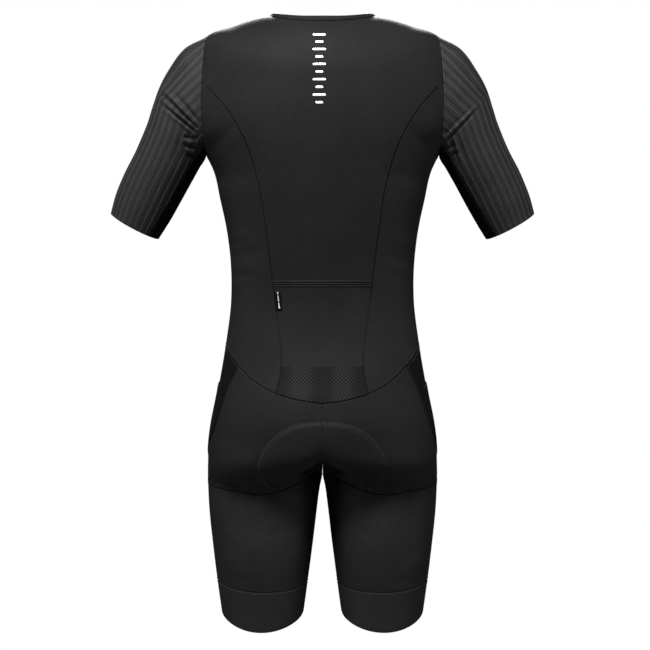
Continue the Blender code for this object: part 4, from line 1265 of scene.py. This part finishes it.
def barGrid(index):
    length = bars["short"] if index % 2 else bars["long"]
    x = np.sin(np.linspace(-1, 1, bars["columns"]) * np.pi / 2) * length / 2
    end = np.clip((np.abs(x) - (length - bars["height"]) / 2) / (bars["height"] / 2), 0, 1)
    half = bars["height"] / 2 * np.sqrt(np.maximum(1 - end**2, bars["leastHeight"] ** 2))
    rise, across = np.meshgrid(np.linspace(1, -1, bars["rows"]), x, indexing="ij")
    z = bars["top"] - bars["pitch"] * index + rise * half[None, :]
    spot = across + bars["centreX"]
    down = downAt(np.abs(spot), z)
    angle = angleOf(np.abs(spot), down)
    angle = np.where(spot >= 0, angle, 180 - angle)
    points, _ = bodySurface(angle, down, 1, bars["lift"] + bars["wall"] + 0 * z)
    return points, np.stack([spot, z], -1), False


silver = gridMesh("silverBars", [barGrid(k) for k in range(bars["count"])], silverFilm)
thicken(silver, bars["wall"])
place(silver, "suit_cloth")

# Zip coil
coil = {"pitch": 1.9, "tooth": (3.0, 1.0, 1.5), "bevel": 0.3, "depth": 0.3, "sliderDown": -102.0, "open": 2.2,
        "closed": 1.35, "start": -112.0, "end": 447.0}


def toothShape():
    bpy.ops.object.select_all(action="DESELECT")
    bpy.ops.mesh.primitive_cube_add(size=1)
    tooth = bpy.context.object
    tooth.scale = coil["tooth"]
    bpy.ops.object.transform_apply(location=False, rotation=False, scale=True)
    bpy.ops.object.mode_set(mode="EDIT")
    bpy.ops.mesh.select_all(action="SELECT")
    bpy.ops.mesh.bevel(offset=coil["bevel"], segments=1)
    bpy.ops.object.mode_set(mode="OBJECT")
    points = np.array([v.co[:] for v in tooth.data.vertices])
    faces = [list(p.vertices) for p in tooth.data.polygons]
    bpy.data.objects.remove(tooth, do_unlink=True)
    return points, faces


toothPoints, toothFaces = toothShape()
downs = run(coil["start"], coil["end"], 1.0)
zipX = np.where(downs < coil["sliderDown"], coil["open"], coil["closed"])
path = bodyPath(-angleOf(zipX, downs), downs, 1, -coil["depth"] - coil["tooth"][2] / 2)
chest, chestNormal = resample(*path, coil["pitch"])
points, faces, base = [], [], 0
for side, shift in ((1, 0.0), (-1, 0.5)):
    spots, up = mirrorTo(side, chest, chestNormal)
    along = unit(np.gradient(spots, axis=0))
    spots = spots + along * shift * coil["pitch"]
    beside = unit(np.cross(up, along))
    for k in range(len(spots) - 1):
        points.append(spots[k] + toothPoints @ np.stack([beside[k], along[k], up[k]]))
        faces += [[base + i for i in f] for f in toothFaces]
        base += len(toothPoints)
place(newObject("zipCoil", np.concatenate(points), faces, coilNylon, smooth=False), "zip_teeth", "zip_chain")
for node, material in (("zip_slider", zipMetal), ("zip_pull", zipMetal), ("zip_tape_L", zipTape),
                       ("zip_tape_R", zipTape)):
    bpy.data.objects[node].material_slots[0].material = material
print("zip made")

# Stage, light and camera
stage = {"floor": -1.9, "radius": 1.9, "sides": 96, "tone": 0.25, "world": 0.05, "backdrop": 1.0}
bpy.ops.object.select_all(action="DESELECT")
bpy.ops.mesh.primitive_circle_add(vertices=stage["sides"], radius=stage["radius"], fill_type="NGON",
                                  location=(0, 0, stage["floor"]))
floor = bpy.context.object
floor.name = "paleFloor"
bpy.ops.object.transform_apply(location=True, rotation=True, scale=True)
floor.data.materials.append(nodeMaterial("floorPaint", even(stage["tone"]), 0.9)[0])

world = bpy.data.worlds.new("studio")
bpy.context.scene.world = world
world.use_nodes = True
nodes, links = world.node_tree.nodes, world.node_tree.links
nodes["Background"].inputs["Color"].default_value = (1, 1, 1, 1)
nodes["Background"].inputs["Strength"].default_value = stage["world"]
backdrop = addNode(nodes, "ShaderNodeBackground", Color=(1, 1, 1, 1), Strength=stage["backdrop"])
rays = nodes.new("ShaderNodeLightPath")
both = nodes.new("ShaderNodeMixShader")    # the camera sees the backdrop, and the suit is lit by the world
links.new(rays.outputs["Is Camera Ray"], both.inputs[0])
links.new(nodes["Background"].outputs[0], both.inputs[1])
links.new(backdrop.outputs[0], both.inputs[2])
links.new(both.outputs[0], nodes["World Output"].inputs["Surface"])


def areaLight(name, spot, target, size, power):
    data = bpy.data.lights.new(name, "AREA")
    data.shape = "DISK"
    data.size = size
    data.energy = power
    light = bpy.data.objects.new(name, data)
    bpy.context.scene.collection.objects.link(light)
    light.location = spot
    light.rotation_euler = (Vector(target) - Vector(spot)).to_track_quat("-Z", "Y").to_euler()


lights = (
    ("keyBack", (0.4, 1.65, 2.05), (0, 0.1, -0.4), 1.0, 280),
    ("fillBack", (-1.4, 2.6, 0.5), (0, 0, -0.5), 1.6, 8),
    ("sideLeft", (2.6, 1.1, -0.4), (0, 0, -0.3), 1.2, 42),
    ("sideRight", (-2.6, 1.1, -0.4), (0, 0, -0.3), 1.2, 46),
    ("keyFront", (0, -2.5, 1.3), (0, -0.1, -0.4), 0.7, 240),
)
for light in lights:
    areaLight(*light)
bpy.context.scene.view_settings.view_transform = "Standard"

view = {"centreX": -0.00375, "centreZ": -0.4275, "distance": 3.0, "sensor": 36.0, "span": 0.975}
cameraData = bpy.data.cameras.new("camera")
cameraData.sensor_width = view["sensor"]
cameraData.lens = view["sensor"] * view["distance"] / view["span"]
camera = bpy.data.objects.new("camera", cameraData)
bpy.context.scene.collection.objects.link(camera)
camera.location = (view["centreX"], view["distance"], view["centreZ"])
camera.rotation_euler = (math.radians(90), 0, math.radians(180))
bpy.context.scene.camera = camera
print("stage and camera made")

for name in sorted(cutSizes):
    print("cut", name, cutSizes[name])
